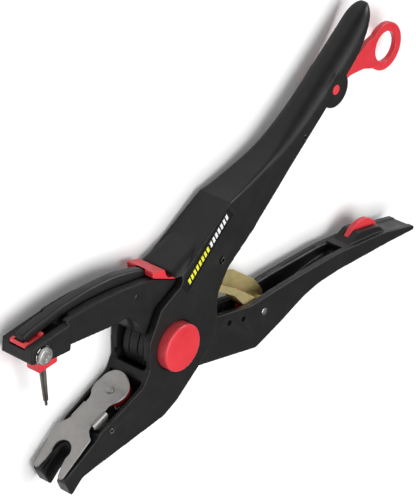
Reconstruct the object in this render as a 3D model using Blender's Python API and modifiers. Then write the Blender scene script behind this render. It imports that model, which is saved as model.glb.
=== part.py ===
"""Ear-tag applicator: tagging pliers with a swing-away needle, a sprung tag clip and a trip link.

The tool lies on its far cheek. +Z runs along every hinge axis, up through the red pivot cap, the origin
is on the main pivot at the table, and +X points along the handles. Dimensions below are in millimetres.
"""

import math

import bmesh
import bpy
from mathutils import Matrix, Vector

MM = 0.001

# Driving dimensions, mm and degrees
CHEEK_WIDTH = 29.6          # over both cheeks, along the pivot
MID = CHEEK_WIDTH / 2       # height of the centre plane
CHEEK_WALL = 4.65
CAVITY_HALF = MID - CHEEK_WALL
ARM_HALF = 9.75             # half width of the upper jaw's arm
HANDLE_HALF = 9.65          # half width of the lower handle
CHANNEL_HALF = 5.65         # half width of the lower handle's channel
EAR_RADIUS = 19.0           # discs of lower handle and jaw round the pivot
EAR_INNER_HALF = 3.3
EAR_OUTER_HALF = 8.2
HUB_HALF = 3.0              # the jaw's central hub, between the handle's ears
PIVOT_BORE_RADIUS = 6.6
BUSH_RADIUS = 6.3
BOLT_RADIUS = 4.9
CAP_RADIUS = 14.25
CAP_HEIGHT = 5.6
GRIP_ANGLE = 39.55          # direction of the upper handle from +X
JAW_CLEARANCE = 0.7         # between the jaw's arm and the handle's ears
SECTION_START = 82.0        # where the hood becomes the grip, along the grip's direction
TAPER_START = 28.0
JAW_ANGLE = 210.5           # direction of the lower jaw, which narrows towards its tip
JAW_TAPER = (26.0, 98.0)
JAW_TIP_HALF = 12.6
SNOUT_LIP = (1.2, 44.5)     # top of the hood's lip on the centre plane
SNOUT_RISE = 0.375          # slope of the lip's top
SNOUT_RADIUS = 6.6
NEEDLE_SLOT = (-76.8, -37.6)
NEEDLE_SLOT_ANGLE = -50.0
NEEDLE_BASE = (-89.3, 23.4)
NEEDLE_ANGLE = -85.4
LABEL_ORIGIN = (6.6, 31.6)
LABEL_ANGLE = 37.2
CLIP_REAR_ANGLE = 200.8
CLIP_FORK_ANGLE = 217.8
CLIP_BEND = (-64.2, -27.9)
RIVET = (-37.9, -17.9)
CLIP_THICKNESS = 1.2
CLIP_EAR = (8.0, 9.0)       # near and far face of the clip's ears, from the centre plane

NOSE_BOLT = (-99.0, 37.7)
JAW_PIN = (-25.5, 40.1)
CLIP_AXIS = (-51.5, -32.0)
LINK_AXIS = (81.6, -16.6)
TRIP_PIN = (40.5, 36.6)
SPRING_ANCHOR = (115.6, 83.5)
RING_AXIS = (143.2, 103.9)
RING_CENTRE = (198.4, 109.9)
RING_BOSS = (142.8, 104.4)
CATCH_CENTRE = (181.4, -16.2)
ADJUST_HOLES = ((63.1, -13.5), (50.9, -10.7))

OBJECT_NAME = "ear_tag_applicator"


# Scene, collections and materials

def clear_scene():
    for item in list(bpy.data.objects):
        bpy.data.objects.remove(item, do_unlink=True)


def new_collection(name):
    collection = bpy.data.collections.new(name)
    bpy.context.scene.collection.children.link(collection)
    return collection


def material(name, colour, roughness, metallic=0.0):
    """A Principled material; colour is linear RGB."""
    made = bpy.data.materials.new(name)
    made.use_nodes = True
    shader = made.node_tree.nodes["Principled BSDF"]
    shader.inputs["Base Color"].default_value = (*colour, 1.0)
    shader.inputs["Roughness"].default_value = roughness
    shader.inputs["Metallic"].default_value = metallic
    return made


clear_scene()
PARTS = new_collection(OBJECT_NAME)
CUTTERS = new_collection(OBJECT_NAME + "_cutters")

NYLON = ("black_nylon", (0.021, 0.021, 0.021), 0.5, 0.0)
RED = ("red_plastic", (0.78, 0.04, 0.05), 0.4, 0.0)
ZINC = ("yellow_zinc_steel", (0.40, 0.33, 0.12), 0.38, 0.9)
STAINLESS = ("satin_stainless", (0.26, 0.25, 0.24), 0.35, 1.0)
BRIGHT_STEEL = ("bright_steel", (0.45, 0.44, 0.43), 0.25, 1.0)
DARK_STEEL = ("dark_steel", (0.09, 0.08, 0.075), 0.4, 1.0)
LABEL = ("label_vinyl", (0.012, 0.012, 0.014), 0.3, 0.0)


# Outlines: lists of (x, y) in mm

def unit(angle):
    return Vector((math.cos(math.radians(angle)), math.sin(math.radians(angle))))


def rounded(corners, step=22.5):
    """Outline from (x, y) or (x, y, radius) corners; a corner with a radius becomes an arc."""
    outline = []
    count = len(corners)
    for index, corner in enumerate(corners):
        here = Vector(corner[:2])
        radius = corner[2] if len(corner) > 2 else 0.0
        if not radius:
            outline.append(tuple(here))
            continue
        before = (Vector(corners[index - 1][:2]) - here).normalized()
        after = (Vector(corners[(index + 1) % count][:2]) - here).normalized()
        half = before.angle(after) / 2
        centre = here + (before + after).normalized() * radius / math.sin(half)
        start = here + before * radius / math.tan(half) - centre
        sweep = math.pi - 2 * half
        if before.x * after.y - before.y * after.x > 0:
            sweep = -sweep
        steps = max(1, round(abs(math.degrees(sweep)) / step))
        for turn in range(steps + 1):
            outline.append(tuple(centre + Matrix.Rotation(sweep * turn / steps, 2) @ start))
    return outline


def arc(centre, radius, start, end, steps):
    """Points on an arc from one angle to another, in degrees."""
    return [tuple(Vector(centre) + unit(start + (end - start) * i / steps) * radius)
            for i in range(steps + 1)]


def circle(centre, radius, steps=24):
    return arc(centre, radius, 0, 360 - 360 / steps, steps - 1)


def in_frame(origin, angle, points):
    """Points given along and across a direction, as points of the side view."""
    along, across = unit(angle), unit(angle + 90)
    return [(*(Vector(origin) + along * p[0] + across * p[1]), *p[2:]) for p in points]


# Solids

def finish(item, name, look=None, collection=None):
    item.name = name
    item.data.name = name
    for owner in list(item.users_collection):
        owner.objects.unlink(item)
    (collection or PARTS).objects.link(item)
    if look:
        if look[0] not in bpy.data.materials:
            material(*look)
        item.data.materials.clear()
        item.data.materials.append(bpy.data.materials[look[0]])
    return item


def smooth(item, angle=32):
    item.data.shade_smooth()
    item.data.set_sharp_from_angle(angle=math.radians(angle))


def evaluated(item):
    """The curve's or modified mesh's result, welded, as a new object; the first object is removed."""
    graph = bpy.context.evaluated_depsgraph_get()
    mesh = bpy.data.meshes.new_from_object(item.evaluated_get(graph))
    work = bmesh.new()
    work.from_mesh(mesh)
    bmesh.ops.remove_doubles(work, verts=work.verts, dist=1e-6)
    bmesh.ops.recalc_face_normals(work, faces=work.faces)
    work.to_mesh(mesh)
    work.free()
    made = bpy.data.objects.new(item.name, mesh)
    made.matrix_world = item.matrix_world
    bpy.context.scene.collection.objects.link(made)
    bpy.data.objects.remove(item, do_unlink=True)
    return made


def plate(name, outline, low, high, look=None, holes=(), edge=0.0, edge_steps=1, origin=None):
    """A flat piece in the side view, from z low to high, with holes and rounded edges."""
    curve = bpy.data.curves.new(name, "CURVE")
    curve.dimensions = "2D"
    curve.fill_mode = "BOTH"
    curve.extrude = ((high - low) / 2 - edge) * MM
    curve.bevel_depth = edge * MM
    curve.offset = -edge * MM
    curve.bevel_resolution = edge_steps - 1
    curve.render_resolution_u = 0
    for points in (outline, *holes):
        spline = curve.splines.new("POLY")
        spline.points.add(len(points) - 1)
        for point, (x, y) in zip(spline.points, points):
            point.co = (x * MM, y * MM, 0, 1)
        spline.use_cyclic_u = True
    drawn = bpy.data.objects.new(name, curve)
    drawn.location.z = (high + low) / 2 * MM
    bpy.context.scene.collection.objects.link(drawn)
    bpy.context.view_layer.update()
    made = evaluated(drawn)
    return place(finish(made, name, look), origin)


def place(item, origin):
    """Bakes the object's matrix and sets its origin on an axis, given as (x, y) in mm."""
    item.data.transform(item.matrix_world)
    item.matrix_world = Matrix.Identity(4)
    if origin:
        shift = Matrix.Translation((origin[0] * MM, origin[1] * MM, MID * MM))
        item.data.transform(shift.inverted())
        item.matrix_world = shift
    return item


def pin(name, centre, low, high, radius, look=None, steps=24, origin=None, edge=0.0):
    """A round pin along Z, with an optional chamfer at both ends."""
    bpy.ops.mesh.primitive_cylinder_add(vertices=steps, radius=radius * MM, depth=(high - low) * MM,
                                        location=(centre[0] * MM, centre[1] * MM, (low + high) / 2 * MM))
    made = finish(bpy.context.object, name, look)
    place(made, origin)
    if edge:
        rim = made.modifiers.new("rim", "BEVEL")
        rim.width = edge * MM
        rim.segments = 2
        rim.limit_method = "ANGLE"
        rim.angle_limit = math.radians(60)
    return made


def turned(name, profile, look=None, centre=(0, 0), angle=None, steps=32, origin=None):
    """A turned piece: profile is (radius, height) pairs down its outer side, closed on the axis.

    It stands along Z at centre (x, y), or lies in the side view along angle, from centre on the mid-plane."""
    points = [(0.0, profile[0][1]), *profile, (0.0, profile[-1][1])]
    mesh = bpy.data.meshes.new(name)
    mesh.from_pydata([(radius * MM, 0, height * MM) for radius, height in points],
                     [(i, i + 1) for i in range(len(points) - 1)], [])
    made = bpy.data.objects.new(name, mesh)
    bpy.context.scene.collection.objects.link(made)
    turn = made.modifiers.new("turn", "SCREW")
    turn.steps = turn.render_steps = steps
    turn.use_merge_vertices = True
    turn.merge_threshold = 1e-6
    if angle is None:
        made.matrix_world = Matrix.Translation((centre[0] * MM, centre[1] * MM, 0))
    else:
        lie = unit(angle).to_3d().to_track_quat("Z", "Y").to_matrix().to_4x4()
        made.matrix_world = Matrix.Translation(Vector((centre[0], centre[1], MID)) * MM) @ lie
    bpy.context.view_layer.update()
    return place(finish(evaluated(made), name, look), origin)


def loft(name, sections, look=None, origin=None):
    """A closed body through sections, each the same number of (x, y, z) points in mm."""
    mesh = bpy.data.meshes.new(name)
    work = bmesh.new()
    rings = [[work.verts.new(Vector(p) * MM) for p in section] for section in sections]
    for first, second in zip(rings, rings[1:]):
        for i in range(len(first)):
            j = (i + 1) % len(first)
            work.faces.new((first[i], second[i], second[j], first[j]))
    work.faces.new(reversed(rings[0]))
    work.faces.new(rings[-1])
    bmesh.ops.recalc_face_normals(work, faces=work.faces)
    work.to_mesh(mesh)
    work.free()
    made = bpy.data.objects.new(name, mesh)
    bpy.context.scene.collection.objects.link(made)
    return place(finish(made, name, look), origin)


def wire(name, points, radius, look, sides=2):
    """A round wire through (x, y, z) points in mm."""
    curve = bpy.data.curves.new(name, "CURVE")
    curve.dimensions = "3D"
    curve.bevel_depth = radius * MM
    curve.bevel_resolution = sides
    curve.use_fill_caps = True
    curve.render_resolution_u = 0
    spline = curve.splines.new("POLY")
    spline.points.add(len(points) - 1)
    for point, co in zip(spline.points, points):
        point.co = (*(Vector(co) * MM), 1)
    drawn = bpy.data.objects.new(name, curve)
    bpy.context.scene.collection.objects.link(drawn)
    bpy.context.view_layer.update()
    return finish(evaluated(drawn), name, look)


def boolean(target, other, operation):
    """Leaves a live Boolean on the target; the other solid becomes a hidden cutter."""
    finish(other, other.name, None, CUTTERS)
    other.hide_render = True
    other.display_type = "WIRE"
    step = target.modifiers.new(other.name, "BOOLEAN")
    step.operation = operation
    step.solver = "EXACT"
    step.object = other


def cut(target, *others):
    for other in others:
        boolean(target, other, "DIFFERENCE")


def join(target, *others):
    for other in others:
        boolean(target, other, "UNION")


def halves(half):
    return MID - half, MID + half


# Main frame: upper handle, cheeks, hood and lower jaw

BODY_FRONT = [(9.2, 43.3, 2), (6.0, 40.4, 1.0), (5.8, 36.0, 2), (-11.4, 27.2, 4),
              (-16.4, 18.0, 3), (-21.3, 9.5, 8), (-21.7, -7.5, 4), (-26.5, -15.6, 5), (-61.2, -30.6),
              (-61.9, -32.3), (-86.6, -46.9, 1.2), (-86.8, -50.5, 5), (-82.4, -59.9, 1), (-73.5, -52.1, 10),
              (-64.0, -50.4, 6), (-10.8, -42.2, 8), (0.7, -36.8, 6), (18.5, -23.2, 6), (33.6, -8, 8),
              (35.2, 8, 10), (36.2, 17, 8), (45.6, 29.2, 12)]
GRIP_STATIONS = [           # along, outer edge, inner edge, half width, outer edge radius
    (81.6, 22.2, -10.75, 11.85, 1.5), (88, 18.8, -11.2, 11.3, 1.6), (94, 16.0, -11.6, 11.0, 1.8),
    (102, 12.7, -12.1, 10.6, 2.2), (110, 9.6, -12.4, 10.3, 2.8), (118, 6.9, -12.6, 10.0, 3.6),
    (126, 4.9, -12.7, 9.85, 4.6), (136, 3.5, -12.8, 9.8, 6.0), (150, 2.5, -12.8, 9.8, 7.6),
    (168, 1.8, -12.8, 9.8, 8.6), (188, 1.5, -12.9, 9.8, 8.9), (202, 1.4, -12.2, 9.7, 8.8),
    (211, 1.3, -10.3, 9.2, 8.2), (218, 1.3, -8.3, 8.4, 6.6), (223.5, 0.9, -6.6, 7.0, 4.8),
    (227.5, 0.0, -5.0, 4.9, 3.0), (230, -1.3, -3.6, 2.4, 1.1)]


def grip_section(station, inner_radius=1.2, arc_steps=4):
    """One cross-section of the grip: large radii on the outer side, small ones on the inner side."""
    along, outer, inner, half, radius = station
    inner_radius = min(inner_radius, (outer - inner) / 3)
    corners = ((outer, half, radius, 0), (outer, -half, radius, -90),
               (inner, -half, inner_radius, -180), (inner, half, inner_radius, -270))
    points = []
    for across, side, round_off, start in corners:
        centre = (across - math.copysign(round_off, across - (outer + inner) / 2),
                  side - math.copysign(round_off, side))
        for i in range(arc_steps + 1):
            turn = math.radians(start + 90 - 90 * i / arc_steps)
            point = (centre[0] + round_off * math.cos(turn), centre[1] + round_off * math.sin(turn))
            flat = unit(GRIP_ANGLE) * along + unit(GRIP_ANGLE + 90) * point[0]
            points.append((flat.x, flat.y, MID + point[1]))
    return points


def snout():
    """The barrel-topped lip of the hood, over the stop saddle."""
    sections = []
    for x in (1.3, 2.2, 5.9, 6.4, 16, 30):
        top = SNOUT_LIP[1] + SNOUT_RISE * (x - SNOUT_LIP[0])
        low = 41.5 if x < 6 else min(top - 8, 39)
        half = MID - 0.02
        last = math.acos((max(low, top - SNOUT_RADIUS) - top + SNOUT_RADIUS) / SNOUT_RADIUS)
        side = [(half - SNOUT_RADIUS + SNOUT_RADIUS * math.sin(last * i / 5),
                 top - SNOUT_RADIUS + SNOUT_RADIUS * math.cos(last * i / 5)) for i in range(6)]
        side.append((side[-1][0], low - 0.01))
        sections.append([(x, y, MID + z) for z, y in side] + [(x, y, MID - z) for z, y in reversed(side)])
    return loft("snout", sections)


def taper(item, angle, start, end, end_half):
    """Narrows a plate as wide as the cheeks along a direction, in flat facets, on both sides."""
    direction = unit(angle)
    work = bmesh.new()
    work.from_mesh(item.data)
    bmesh.ops.bisect_plane(work, geom=work.verts[:] + work.edges[:] + work.faces[:], dist=1e-7,
                           plane_co=(direction * start * MM).to_3d(), plane_no=direction.to_3d())
    for vertex in work.verts:
        share = max(0.0, (vertex.co.xy.dot(direction) / MM - start) / (end - start))
        vertex.co.z = MID * MM + (vertex.co.z - MID * MM) * (1 - (1 - end_half / MID) * share)
    work.to_mesh(item.data)
    work.free()


def make_frame():
    end = in_frame((0, 0), GRIP_ANGLE, [(SECTION_START, -10.4), (SECTION_START + 2.5, -10.2),
                                        (SECTION_START + 2.5, 19.9), (SECTION_START, 21.7)])
    outline = rounded([*end, *BODY_FRONT])
    body = plate("main_frame", outline, 0, CHEEK_WIDTH, NYLON, edge=1.2, edge_steps=2)
    taper(body, GRIP_ANGLE, TAPER_START, SECTION_START, GRIP_STATIONS[0][3])
    taper(body, JAW_ANGLE, *JAW_TAPER, JAW_TIP_HALF)
    lip = snout()
    taper(lip, GRIP_ANGLE, TAPER_START, SECTION_START, GRIP_STATIONS[0][3])
    join(body, lip, loft("grip", [grip_section(station) for station in GRIP_STATIONS]))

    boss = arc(RING_BOSS, 11.7, 205, 385, 20)
    join(body, plate("ring_boss", [*boss, (143.0, 114.5), (133.5, 106.0)], *halves(9.0), edge=1.0))

    cavity = rounded([(-9, 41.5), (1.0, 41.5), (9.0, 40.6, 4), (17, 44.0, 3), (39, 58.5, 4), (52, 60, 4),
                      (62, 36, 4), (80, 20), (60, -20), (16.5, -26.5), (8, -25.2, 4), (0, -20.0, 6),
                      (-12, -17.6, 6), (-19, -9.6, 2), (-30, -5.5), (-45, 18), (-45, 36)])
    cut(body, plate("cheek_cavity", cavity, *halves(CAVITY_HALF)))
    hollow = in_frame((0, 0), GRIP_ANGLE, [(50, 9, 2), (60, 17, 2), (84, 15, 3), (104, 7.5, 6),
                                           (126, -0.5, 8), (162, -3.0, 4), (163, -20), (50, -20)])
    cut(body, plate("grip_channel", rounded(hollow), *halves(6.4)))
    slot = in_frame(RING_AXIS, 0, [(-9.5, 7, 3), (4, 16, 2), (60, 24), (60, -30), (-2, -30), (-9.5, -8, 3)])
    cut(body, plate("ring_slot", rounded(slot), *halves(2.3)))

    pocket = rounded([(-14, -3), (-26.0, -11.4, 2), (-22.8, -20.5, 3), (-22.4, -29.5, 4), (-33, -33.5, 6),
                      (-46, -38.2, 4), (-57.6, -38.6, 3), (-60.6, -31.6), (-62, -20), (-40, 0)])
    cut(body, plate("clip_pocket", pocket, *halves(11.9)))
    cut(body, needle_slot())

    bores = (("pivot_bore", (0, 0), -1, 31, PIVOT_BORE_RADIUS),
             ("cap_recess", (0, 0), 28.3, 32, CAP_RADIUS + 0.6),
             ("head_recess", (0, 0), -1, 2.6, 9.4), ("trip_bore", TRIP_PIN, -1, 31, 2.5),
             ("anchor_bore", SPRING_ANCHOR, -1, 31, 2.2), ("clip_bore", CLIP_AXIS, -1, 31, 2.1),
             ("ring_bore", RING_AXIS, -1, 31, 3.3))
    for name, centre, low, high, radius in bores:
        cut(body, pin(name, centre, low, high, radius, steps=32 if radius > 6 else 20))
    recess = plate("label_recess", rounded(label_outline(0.3), 45), 24, 32)
    tilt_to_hood(recess, -0.55)
    cut(body, recess)


def label_outline(grow):
    return in_frame(LABEL_ORIGIN, LABEL_ANGLE,
                    [(1.3 - grow, -3.3 - grow, 0.5), (52.7 + grow, -3.3 - grow, 0.5),
                     (52.7 + grow, 3.6 + grow, 0.5), (1.3 - grow, 3.6 + grow, 0.5)])


def tilt_to_hood(item, depth):
    """Moves a piece's bottom face to the tapered near side, plus depth outwards."""
    direction = unit(GRIP_ANGLE)
    fall = (MID - GRIP_STATIONS[0][3]) / (SECTION_START - TAPER_START)
    low = min(v.co.z for v in item.data.vertices)
    for vertex in item.data.vertices:
        along = max(0.0, vertex.co.xy.dot(direction) / MM - TAPER_START)
        vertex.co.z += (CHEEK_WIDTH - fall * along + depth) * MM - low


def needle_slot():
    """The chute for the needle: wide at the clip, narrow at the bottom, open at the front."""
    sections = []
    for depth, half, back in ((-8, 5.9, 6.2), (4, 5.6, 5.9), (5, 4.4, 4.7), (30, 1.9, 3.0)):
        start = Vector(NEEDLE_SLOT) + unit(NEEDLE_SLOT_ANGLE) * depth
        inward = unit(NEEDLE_SLOT_ANGLE + 90)
        side = [(start - inward * 40, half), (start, half)]
        side += [(start + inward * back * math.sin(math.radians(a)), half * math.cos(math.radians(a)))
                 for a in range(15, 180, 15)]
        side += [(start, -half), (start - inward * 40, -half)]
        sections.append([(p.x, p.y, MID + z) for p, z in side])
    return loft("needle_slot", sections)


def make_pivot():
    pin("pivot_bush", (0, 0), 3.0, 26.6, BUSH_RADIUS, ("bronze", (0.45, 0.27, 0.10), 0.35, 1.0), steps=32)
    cut(bpy.data.objects["pivot_bush"], pin("bush_bore", (0, 0), -1, 31, BOLT_RADIUS + 0.1, steps=32))
    turned("pivot_bolt", [(BOLT_RADIUS - 0.5, 29.3), (BOLT_RADIUS, 28.8), (BOLT_RADIUS, 2.5), (8.2, 2.5),
                          (9.0, 1.9), (9.0, 0.4), (8.6, 0.0)], BRIGHT_STEEL)
    nut = pin("pivot_nut", (0, 0), 28.6, 32.2, 8.2, BRIGHT_STEEL, steps=6)
    cut(nut, pin("nut_bore", (0, 0), 20, 35, BOLT_RADIUS + 0.3))
    top = CHEEK_WIDTH + CAP_HEIGHT
    cap = turned("pivot_cap", [(CAP_RADIUS - 1.1, top), (CAP_RADIUS - 0.35, top - 0.35),
                               (CAP_RADIUS, top - 1.1), (CAP_RADIUS, 28.6)], RED, steps=40)
    cut(cap, pin("cap_hollow", (0, 0), 20, top - 2.4, CAP_RADIUS - 2.0, steps=40))
    for side, low in enumerate((CHEEK_WALL + 0.15, MID + EAR_OUTER_HALF + 0.15)):
        washer = pin("thrust_washer_%d" % (side + 1), (0, 0), low, low + 1.6, 11.5, BRIGHT_STEEL, steps=32)
        cut(washer, pin("washer_bore_%d" % (side + 1), (0, 0), -1, 31, BUSH_RADIUS + 0.3, steps=32))


# Lower handle

HANDLE_TOP = [(223.6, -17.6, 1.6), (191.8, -10.4, 60), (150, -6.4, 100), (106, -6.5, 80), (70, -7.9, 20),
              (40.5, -2.0, 10), (21.5, 9.5, 6), (14.0, 15.5, 3)]
HANDLE_BOTTOM = [(-2, -19.0, 3), (12.0, -24.6, 6), (32.5, -29.0, 10), (74.5, -38.0, 3), (80.5, -36.0, 8),
                 (98, -30.0, 40), (117, -22.4, 30), (131, -19.2, 30), (150, -18.2, 40), (197, -19.2, 60),
                 (223.9, -20.5, 0.9)]


def make_lower_handle():
    outline = rounded([*HANDLE_TOP, *HANDLE_BOTTOM], 18)
    handle = plate("lower_handle", outline, *halves(HANDLE_HALF), NYLON, edge=0.9, origin=(0, 0))
    join(handle, plate("ear_disc", arc((0, 0), EAR_RADIUS, 4, 355, 40), *halves(EAR_OUTER_HALF), edge=0.8))
    boss = rounded([(158.2, -12.5, 1), (163.5, -8.0, 4), (173.0, -3.0, 5), (192.5, -6.6, 7),
                    (201.5, -14.5, 3), (199, -17.5), (160, -16.5)])
    join(handle, plate("catch_boss", boss, *halves(6.2), edge=1.6, edge_steps=2))
    for name, side in (("ear_flank_near", 1), ("ear_flank_far", -1)):
        flank = rounded([(-25, -30), (8, -30), (12.5, -14.5, 3), (20.8, 0), (12.5, 14.5, 3), (8, 30),
                         (-25, 30)])
        near = sorted((MID + side * EAR_OUTER_HALF, MID + side * 12))
        cut(handle, plate(name, flank, *near))
    cut(handle, plate("hub_gap", arc((0, 0), EAR_RADIUS + 2.0, 5, 356, 39), *halves(EAR_INNER_HALF)))
    channel = rounded([(13.4, 30), (13.4, -18.5, 2), (30, -24.5, 4), (70, -33.2, 6), (96, -26.6, 12),
                       (118, -18.6, 20), (140, -14.6, 20), (157.6, -13.4, 3), (157.6, 8)])
    cut(handle, plate("handle_channel", channel, *halves(CHANNEL_HALF)))
    groove = rounded([(200, -9.5, 2), (204, -13.7, 4), (224, -18.3), (232, -12), (210, -2)])
    cut(handle, plate("thumb_groove", groove, *halves(5.4)))
    cut(handle, pin("handle_bore", (0, 0), -1, 31, PIVOT_BORE_RADIUS, steps=32),
        pin("link_bore", LINK_AXIS, -1, 31, 2.35))
    for index, hole in enumerate(ADJUST_HOLES):
        cut(handle, pin("adjust_hole_%d" % index, hole, -1, 31, 1.8))
    cut(handle, plate("catch_slot", arc(CATCH_CENTRE, 17.1, 10, 170, 24), *halves(2.1)))
    plate("latch_catch", arc(CATCH_CENTRE, 16.7, 13, 167, 22), *halves(1.8), RED, edge=0.4, origin=(0, 0))
    pin("link_pin", LINK_AXIS, MID - 9.9, MID + 9.9, 2.25, BRIGHT_STEEL, edge=0.3, origin=(0, 0))


# Trip link: formed sheet, tall far cheek, web under it, low near cheek

def make_trip_link():
    tall = rounded([(25.5, 24.6, 2), (27.5, 33.5, 2.5), (44.0, 25.8, 2), (48.4, 16.6, 3), (52.9, 8.6, 3.2),
                    (58.4, 14.6, 2), (68.6, 12.2, 8), (88.2, -2.6, 10), (96.0, -13.0, 6), (96.3, -20.4, 1.5),
                    (79.0, -20.6, 6), (60.5, 1.2, 8), (40.0, 14.5, 10)])
    link = plate("trip_link", tall, *halves(5.2), ZINC, edge=0.3, origin=LINK_AXIS)
    trough = rounded([(20, 45), (20, 31, 1), (43, 16.8, 10), (63.5, 2.6, 8), (79.5, -17.9, 3), (99, -17.9),
                      (99, 45)])
    cut(link, plate("link_trough", trough, MID - 4.2, MID + 4.2))
    low_near = rounded([(20, 45), (20, 31), (36, 21), (62, 5.5, 6), (84, -11.5, 6), (99, -13.5), (99, 45)])
    cut(link, plate("link_near_cut", low_near, MID + 1, MID + 9))
    cut(link, pin("link_eye", LINK_AXIS, -1, 31, 2.45))
    for name, grow, look in (("trip_block_window", 0.35, None), ("trip_block", 0.0, RED)):
        bar = in_frame((72.0, -12.0), 62, [(-2.6 - grow, -1.9 - grow, 0.6), (7.4 + grow, -1.9 - grow, 0.6),
                                           (7.4 + grow, 1.5 + grow, 0.6), (-2.6 - grow, 1.5 + grow, 0.6)])
        block = plate(name, rounded(bar, 45), MID - 3.6 - grow, MID + 2.6 + grow, look,
                      edge=0 if grow else 0.3, origin=LINK_AXIS)
        if grow:
            cut(link, block)


# Upper jaw

ARM_OUTLINE = [(-79.6, 48.9), (-60.0, 50.0, 60), (-38.0, 48.9, 40), (-13.5, 45.6, 6), (2.0, 38.8, 4),
               (17.0, 34.5, 2), (21.0, 25.5, 2), (13.5, 20.5), (0, 16), (-14.5, 15.5), (-20.2, 12.6, 0.8),
               (-27.6, 30.2, 14), (-45.8, 30.3, 3), (-79.0, 33.4)]
NOSE_OUTLINE = [(-78.0, 47.0), (-80.2, 46.7, 1), (-106.4, 43.6, 1.2), (-107.6, 34.8, 1.2), (-90.0, 31.6, 8),
                (-78.6, 30.9, 0.8), (-78.0, 33.6)]


def make_upper_jaw():
    arm = rounded(ARM_OUTLINE, 18)
    jaw = plate("upper_jaw", arm, *halves(ARM_HALF), NYLON, edge=0.8, origin=(0, 0))
    ears = plate("ear_clearance", circle((0, 0), EAR_RADIUS + JAW_CLEARANCE, 40), *halves(12))
    cut(jaw, ears)
    hub = rounded([(-30, 34, 4), (-24.5, 18, 10), *arc((0, 0), EAR_RADIUS, 150, 400, 20), (12, 24), (8, 34)])
    join(jaw, plate("jaw_hub", hub, *halves(HUB_HALF), edge=0.5))
    join(jaw, plate("nose", rounded(NOSE_OUTLINE), *halves(11.35), edge=0.8))
    slot = rounded([(-72, 60), (-74, 48.5), (-79, 43.0, 2), (-79.6, 28), (-98, 28), (-105.8, 33.5),
                    (-105.0, 41.4, 1), (-112, 42.0), (-112, 60)])
    cut(jaw, plate("nose_slot", slot, *halves(6.0)))
    groove = rounded([(-76, 47.2), (-60, 48.6, 60), (-38.0, 47.4, 40), (-13.5, 44.2, 6), (3.5, 36.0),
                      (3.5, 60), (-76, 60)])
    cut(jaw, plate("bar_groove", groove, *halves(3.6)))
    cut(jaw, pin("jaw_bore", (0, 0), -1, 31, PIVOT_BORE_RADIUS, steps=32),
        pin("jaw_pin_bore", JAW_PIN, -1, 31, 1.45, steps=16),
        pin("nose_bore", NOSE_BOLT, -1, 31, 2.75))


def make_jaw_fittings():
    top = [(-13.5, 50.0, 30), (-34, 54.6, 60), (-55, 55.6, 60), (-78, 53.8, 40), (-100, 50.0, 30),
           (-105.2, 48.4, 2.4)]
    low = [(-105.0, 43.4, 0.8), (-78, 47.4, 40), (-60, 48.9, 60), (-38, 47.7, 40), (-13.7, 44.5, 6),
           (3.0, 37.3, 0.5)]
    bar = plate("top_bar", rounded([(1.0, 40.9, 0.8), *top, *low], 15), *halves(3.3), NYLON, edge=1.4,
                edge_steps=2, origin=(0, 0))
    cut(bar, pin("bar_pin_bore", JAW_PIN, -1, 31, 1.6, steps=16))
    pin("jaw_pin", JAW_PIN, MID - 9.6, MID + 9.6, 1.35, DARK_STEEL, steps=16, origin=(0, 0))

    saddle = rounded([(-12.4, 46.0), (-12.7, 49.9, 0.8), (-2.9, 47.4, 0.8), (-1.6, 43.0, 0.8),
                      (0.2, 41.0, 0.8), (6.4, 40.2, 0.5), (5.6, 38.2), (1.5, 39.7), (-4.5, 42.3)])
    made = plate("stop_saddle", saddle, *halves(ARM_HALF), RED, edge=0.4, origin=(0, 0))
    inside = rounded([(-20, 30), (-20, 44.0), (-14.0, 46.6, 0), (-2.5, 41.6), (6.0, 37.4), (10, 30)])
    cut(made, plate("saddle_seat", inside, *halves(20)))
    rail = rounded([(-20, 40), (-20, 51.9, 0), (-13.5, 50.3, 10), (2.7, 41.4), (9, 41), (9, 30)])
    cut(made, plate("saddle_rail_gap", rail, *halves(3.6)))

    bolt = pin("nose_bolt", NOSE_BOLT, 2.0, 27.6, 2.6, BRIGHT_STEEL, origin=(0, 0))
    join(bolt, pin("bolt_head", NOSE_BOLT, 27.0, 29.0, 4.8, steps=32),
         pin("bolt_tail", NOSE_BOLT, 1.1, 3.0, 3.6, steps=32))
    washer = pin("nose_washer", NOSE_BOLT, 26.3, 26.8, 5.6, BRIGHT_STEEL, steps=32, origin=(0, 0))
    cut(washer, pin("nose_washer_bore", NOSE_BOLT, -1, 31, 2.8))

    seat = rounded([(-106.6, 42.5, 0.4), (-106.3, 44.7, 0.6), (-92.6, 46.6, 0.8), (-92.2, 42.5, 0.4)])
    shoe = plate("bar_shoe", seat, *halves(5.7), RED, edge=0.3, origin=(0, 0))
    gap = rounded([(-105.6, 43.0), (-90, 45.3), (-90, 60), (-105.6, 60)])
    cut(shoe, plate("shoe_gap", gap, *halves(3.6)))


# Needle carrier: swings on the nose bolt

def make_carrier():
    block = rounded([(-96.0, 21.6, 1), (-81.9, 22.9, 1), (-82.3, 30.5, 1.5), (-90, 33.0), (-94.6, 40.0),
                     (-98, 40.0), (-96.0, 33.4)])
    carrier = plate("needle_carrier", block, *halves(4.7), RED, edge=0.4, origin=NOSE_BOLT)
    join(carrier, plate("carrier_disc", circle(NOSE_BOLT, 4.5, 28), *halves(4.7)))
    cut(carrier, pin("carrier_bore", NOSE_BOLT, -1, 31, 2.75),
        turned("needle_seat", [(2.1, 10), (2.1, -0.4)], centre=NEEDLE_BASE, angle=NEEDLE_ANGLE, steps=20))
    turned("needle", [(0.4, 27.6), (0.8, 27.2), (0.85, 24.6), (1.45, 24.0), (1.9, 6.5), (1.9, 0)], DARK_STEEL,
           NEEDLE_BASE, NEEDLE_ANGLE, 20, NOSE_BOLT)


# Tag clip: forked plate that rocks on the roll pin

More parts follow.
